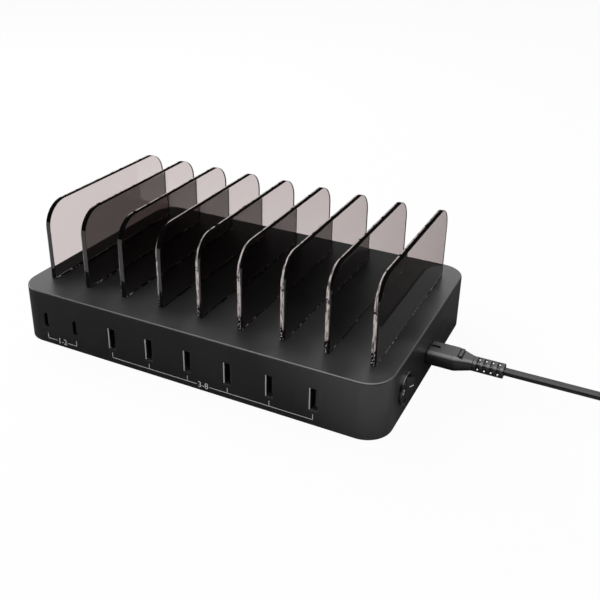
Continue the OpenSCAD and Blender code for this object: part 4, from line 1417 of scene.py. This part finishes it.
    def plug(self) -> Piece:
        """Makes the mains plug: a body that narrows to a ribbed strain relief, and grip bars."""
        y, z, face, ribs, slim = 72.5, 10.5, 211.0, 6, 0.82
        stations = [(face + x, *size) for x, *size in (
            (0, 12.6, 17.6, 2.0), (0.15, 14.4, 19.4, 2.4), (0.6, 15.4, 20.4, 2.8),
            (1.3, 16.0, 21.0, 3.0), (4, 16.0, 21.0, 3.0), (9, 15.4, 20.0, 3.6),
            (15, 14.4, 18.4, 4.2), (19, 12.4, 15.4, 4.4), (21, 10.4, 12.6, 4.2))]
        for k in range(ribs):
            x, less = face + 21.3 + 3.25 * k, 4.4 * k / (ribs - 1)
            full, neck = ((w, h, w / 2 - 0.3) for w, h in (
                (s * (10.0 - less), s * (12.0 - less)) for s in (1.0, slim)))
            stations += [(x, *neck), (x + 0.35, *full), (x + 2.0, *full), (x + 2.35, *neck)]
        stations.append((face + 41, 4.7, 7.0, 2.2))
        parts = [along_x("plug", stations, y, z, Finish.PVC)]
        for side in (-1, 1):
            bar_y = y + side * 7.4
            bar = block("bar", (face + 5, bar_y - 0.5, z - 6), (face + 6.2, bar_y + 0.5, z + 6),
                        Finish.PVC, 0.4)
            parts.append(row_of(bar, 4, (2.4, -side * 0.16, 0)))
        return finished(joined("plug_body", parts), "moulded_pvc", "mains_plug", body="lead")

    def build(self) -> None:
        """Makes the cord and the pieces on it."""
        cord = finished(self.cord(), "cord_pvc", "cord", "cord_coil", body="lead")
        self.connector()
        self.boot()
        carried = [self.plug(),
                   softened("plug_blades", "plug_blade_pair", Finish.BRASS, "contact_brass", 0.3,
                            body="lead"),
                   softened("coil_tie", "coil_strap", Finish.STRAP, "strap_fabric", 0.12,
                            body="lead")]
        tuple(c * MM for c in self.exit)
        self.length * MM
        [tuple(c * MM for c in p[:3]) for p in self.route]
        log.info("cord length %.0f mm", self.length)


# Supply
@dataclass
class Supply:
    """The boards, the parts on them and the mains inlet, out of sight in the housing."""

    z: float = 9.7
    output_row: tuple[int, Point] = (4, (0, 18, 0))

    def build(self) -> None:
        """Makes every inner piece."""
        for group in (self.boards, self.inlet, self.fuse, self.choke, self.rectifier,
                      self.transformer, self.capacitors, self.power_stage, self.inductors,
                      self.controllers):
            group()

    def boards(self) -> None:
        """Makes the two boards, the header between them, the screws and a row of resistors."""
        for node, name, finish, slot in (
            ("main_board", "supply_board", Finish.SOLDER_MASK, "circuit_board"),
            ("port_board", "socket_board", Finish.SOLDER_MASK, "circuit_board"),
            ("board_header", "header_body", Finish.NYLON, "header_nylon"),
            ("board_screws", "board_screw_set", Finish.SCREW, "screw_steel"),
        ):
            softened(node, name, finish, slot, 0.12)
        pin = block("header_contacts", (-32.2, -52.3, 10.55), (-31.6, -50.8, 12.0), Finish.GOLD,
                    0.1)
        finished(row_of(pin, 13, (5, 0, 0)), "contact_brass")
        rows = []
        for x, w, h, finish in ((-66, 2, 0.55, Finish.EPOXY), (-66.05, 0.35, 0.6, Finish.STEEL),
                                (-64.3, 0.35, 0.6, Finish.STEEL)):
            part = block("resistor", (x, -33.2, self.z), (x + w, -32, self.z + h), finish, 0.06)
            rows.append(row_of(part, 18, (4, 0, 0)))
        finished(joined("board_resistors", rows), "chip_epoxy")

    def inlet(self) -> None:
        """Makes the inlet, its pins, the switch's terminals and the wires."""
        for node, name, finish, slot, width, segments in (
            ("inlet_body", "inlet_socket", Finish.INSULATOR, "insulator_plastic", 0.3, 2),
            ("inlet_pins", "inlet_pin_pair", Finish.BRASS, "contact_brass", 0.5, 4),
            ("switch_terminals", "switch_tab_pair", Finish.BRASS, "contact_brass", 0.2, 2),
            ("line_wires", "line_wire_set", Finish.WIRE, "wire_insulation", 0, 0),
        ):
            softened(node, name, finish, slot, width, segments)

    def fuse(self) -> None:
        """Makes the fuse: a glass tube with its strand and end caps, in two clips."""
        x, y, length = 68.1, 20, 15
        spot = place_at((x, y, self.z + 3.5), "xZy")
        profile = [(0, 0), (2.2, 0), (2.5, 0.25), (2.5, 4.85), (2.35, 5.0), (0, 5.0)]
        cap = lathe("cap", profile, 40, spot, Finish.STEEL)
        tube = rod("tube", 2.2, 5.0, length, 40, spot, Finish.GLASS)
        strand = rod("strand", 0.12, 5.0, length, 8, spot, Finish.COPPER)
        corners = [(-2.0, 0.0), (2.0, 0.0), (2.0, 3.0), (1.6, 3.0), (1.6, 0.4), (-1.6, 0.4),
                   (-1.6, 3.0), (-2.0, 3.0)]
        clip = slab_of("clip", [(*corner, 0.1) for corner in corners], 4.0,
                       place_at((x, y + 4.5, self.z), "xzY"), Finish.STEEL, 2)
        caps, clips = (row_of(part, 2, (0, length, 0)) for part in (cap, clip))
        finished(joined("fuse_in_clips", [caps, tube, strand, clips]), "fuse_glass", "fuse")

    def choke(self) -> None:
        """Makes the line choke: a ring core on its foot, and the turns round it."""
        x, y, core_z = 56.1, -22, self.z + 4.8
        ring = wire_loop("ring", circle(8, 64), 3.45, place_at((x, y, core_z)), 24, Finish.FERRITE)
        profile = [(0, 0), (9.6, 0), (10, 0.4), (10, 1.6), (9.6, 2.0), (0, 2.0)]
        foot = lathe("foot", profile, 48, place_at((x, y, self.z)), Finish.INSULATOR)
        finished(joined("choke_core", [ring, foot]), "ferrite", "line_choke")
        turn = wire_loop("choke_turns", circle(3.75, 28), 0.25, place_at((8, 0, 0), "xzY"), 8,
                         Finish.COPPER)
        finished(ring_of(turn, 60, (x, y, core_z)), "copper_winding")

    def rectifier(self) -> None:
        """Makes the line filter capacitor and the bridge rectifier."""
        corners = [(-9, 0, 0.3), (-7, 0, 0.3), (-6.5, 0.6, 0.1), (6.5, 0.6, 0.1), (7, 0, 0.3),
                   (9, 0, 0.3), (9, 14, 1.0), (-9, 14, 1.0)]
        film = slab_of("film_capacitor", corners, 8.4, place_at((45.9, 8, self.z), "yzx"),
                       Finish.FILM_BOX, 4)
        finished(rounded(film, 0.45, 3), "capacitor_case", "line_filter_capacitor")
        corners = [(-10, 1.4, 0.4), (10, 1.4, 0.4), (10, 12, 0.4), (-7, 12, 0.4), (-10, 9, 0.4)]
        case = slab_of("case", corners, 3.8, place_at((48.2, 32, self.z), "yzx"), Finish.EPOXY, 3)
        leg = block("leg", (49.7, 24.2, self.z), (50.5, 25.0, self.z + 1.6), Finish.STEEL, 0.08)
        finished(joined("rectifier", [rounded(case, 0.25), row_of(leg, 4, (0, 5, 0))]),
                 "chip_epoxy", "bridge_rectifier")

    def transformer(self) -> None:
        """Makes the transformer: the two core halves, the taped coil and its outer turns."""
        softened("transformer_core", "transformer_ferrite", Finish.FERRITE, "ferrite", 0.4, 3)
        core = copy_of("transformer_coil", "transformer_tape", Finish.TAPE)
        x, y, inset, count = MIDDLE_X, 26.0, 0.55, 9
        for vertex in core.data.vertices:
            dx, dy = vertex.co.x / MM - x, vertex.co.y / MM - y
            if abs(dx) > 6:
                vertex.co.x -= math.copysign(inset * MM, dx)
            if abs(dy) > 9:
                vertex.co.y -= math.copysign(inset * MM, dy)
        low, high = (Vector(corner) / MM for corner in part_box("transformer_coil"))
        size = high - low
        loop = wire_loop("turns", rounded_outline(size.x - 0.8, size.y - 0.8, 2.6, 8), 0.4,
                         place_at((x, y, low.z + 1.1)), 8, Finish.COPPER)
        turns = row_of(loop, count, (0, 0, (size.z - 2.2) / (count - 1)))
        finished(joined("transformer_winding", [rounded(core, 0.2), turns]), "copper_winding",
                 "transformer_coil")

    def can(self, r: float, length: float, place: Matrix) -> tuple[Piece, Piece]:
        """Makes an electrolytic can: sleeve with a rolled groove, and the bare vented end.

        Args:
            r: Its radius.
            length: Its length.
            place: Where its sealed end goes, its length along local Z.

        Returns:
            The sleeve and the end.
        """
        groove_r = 0.94 * r
        profile = [(0, 0.25), (r - 1.0, 0.25), (r - 0.9, 0.0), (r - 0.3, 0.0), (r, 0.35), (r, 1.6),
                   (groove_r, 2.0), (groove_r, 2.4), (r, 2.9), (r, length - 0.45),
                   (r - 0.15, length - 0.1), (r - 0.6, length), (r - 0.8, length - 0.15),
                   (0, length - 0.15)]
        return (lathe("sleeve", profile, 56, place, Finish.SLEEVE),
                rod("end", r - 0.85, length - 0.3, length - 0.1, 56, place, Finish.ALUMINIUM))

    def capacitors(self) -> None:
        """Makes the bulk capacitor on its side and the row of output capacitors."""
        pad = block("pad", (28.1, 18, self.z), (36.1, 42, self.z + 2), Finish.INSULATOR, 0.3)
        lying = self.can(8, 30, place_at((32.1, 15, self.z + 8), "xZy"))
        finished(joined("bulk_capacitor_can", [*lying, pad]), "can_sleeve", "bulk_capacitor")
        row = [row_of(part, *self.output_row)
               for part in self.can(4, 13, place_at((-53.9, -14, self.z)))]
        finished(joined("output_capacitor_cans", row), "can_sleeve", "output_capacitors")

    def power_stage(self) -> None:
        """Makes the heat sinks and the power transistor."""
        z = self.z
        for side in ("primary", "secondary"):
            softened(f"{side}_heat_sink", f"{side}_fins", Finish.ALUMINIUM, "heat_sink_aluminium")
        tab = block("tab", (33.3, -29, z + 2.4), (34.6, -19, z + 14), Finish.STEEL, 0.2)
        body = block("body", (33.8, -28.9, z + 2.2), (37.8, -19.1, z + 10.6), Finish.EPOXY, 0.4)
        head = lathe("head", [(0, 0), (1.5, 0), (1.5, 0.7), (1.2, 1.0), (0, 1.0)], 32,
                     place_at((34.6, -24, z + 12.2), "Zyx"), Finish.SCREW)
        leg = block("leg", (35.6, -26.95, z), (36.1, -26.15, z + 2.5), Finish.STEEL, 0.08)
        finished(joined("transistor", [tab, body, head, row_of(leg, 3, (0, 2.54, 0))]),
                 "chip_epoxy", "power_transistor")

    def inductors(self) -> None:
        """Makes the row of shielded inductors."""
        x, y, z = -71.9, -14, self.z
        corners = [(-4.5, -4.5, 1.5), (4.5, -4.5, 1.5), (4.5, 4.5, 1.5), (-4.5, 4.5, 1.5)]
        case = slab_of("case", corners, 5.8, place_at((x, y, z + 0.2)), Finish.FERRITE, 5)
        profile = [(0, 5.6), (2.9, 5.6), (3.1, 5.85), (3.1, 6.0), (2.6, 6.0), (2.5, 5.9), (0, 5.9)]
        drum = lathe("drum", profile, 40, place_at((x, y, z)), Finish.COPPER)
        ends = [block("end", (x + off - 1.2, y - 4.4, z), (x + off + 1.2, y + 4.4, z + 0.3),
                      Finish.STEEL, 0.06) for off in (-3.2, 3.2)]
        row = [row_of(part, *self.output_row) for part in (rounded(case, 0.4, 3), drum, *ends)]
        finished(joined("shielded_inductors", row), "ferrite", "output_inductors")

    def controllers(self) -> None:
        """Makes the row of charge controllers with their legs."""
        z = self.z
        chip = block("chip", (-64.9, -39.9, z + 0.1), (-58.9, -36.1, z + 1.4), Finish.EPOXY, 0.12)
        parts = [chip]
        corners = [(1.85, 0.85), (1.85, 0.65), (2.05, 0.6), (2.15, 0.0), (2.5, 0.0), (2.5, 0.2),
                   (2.3, 0.25), (2.2, 0.85)]
        for x, axes in ((-63.6, "YzX"), (-64.0, "yzx")):
            leg = slab_of("leg", [(*corner, 0.03) for corner in corners], 0.4,
                          place_at((x, -38, z), axes), Finish.STEEL, 1)
            parts.append(row_of(leg, 4, (1.27, 0, 0)))
        row = [row_of(part, 5, (16, 0, 0)) for part in parts]
        finished(joined("controller_chips", row), "chip_epoxy", "charge_controllers")


def main() -> None:
    """Builds the studio and every piece of the charging station."""
    logging.basicConfig(level=logging.INFO, format="%(name)s: %(message)s")
    for part in (Studio(), Lead(), Housing(), Dividers(), Sockets(), Switch(), Supply()):
        part.build()


if __name__ == "__main__":
    main()
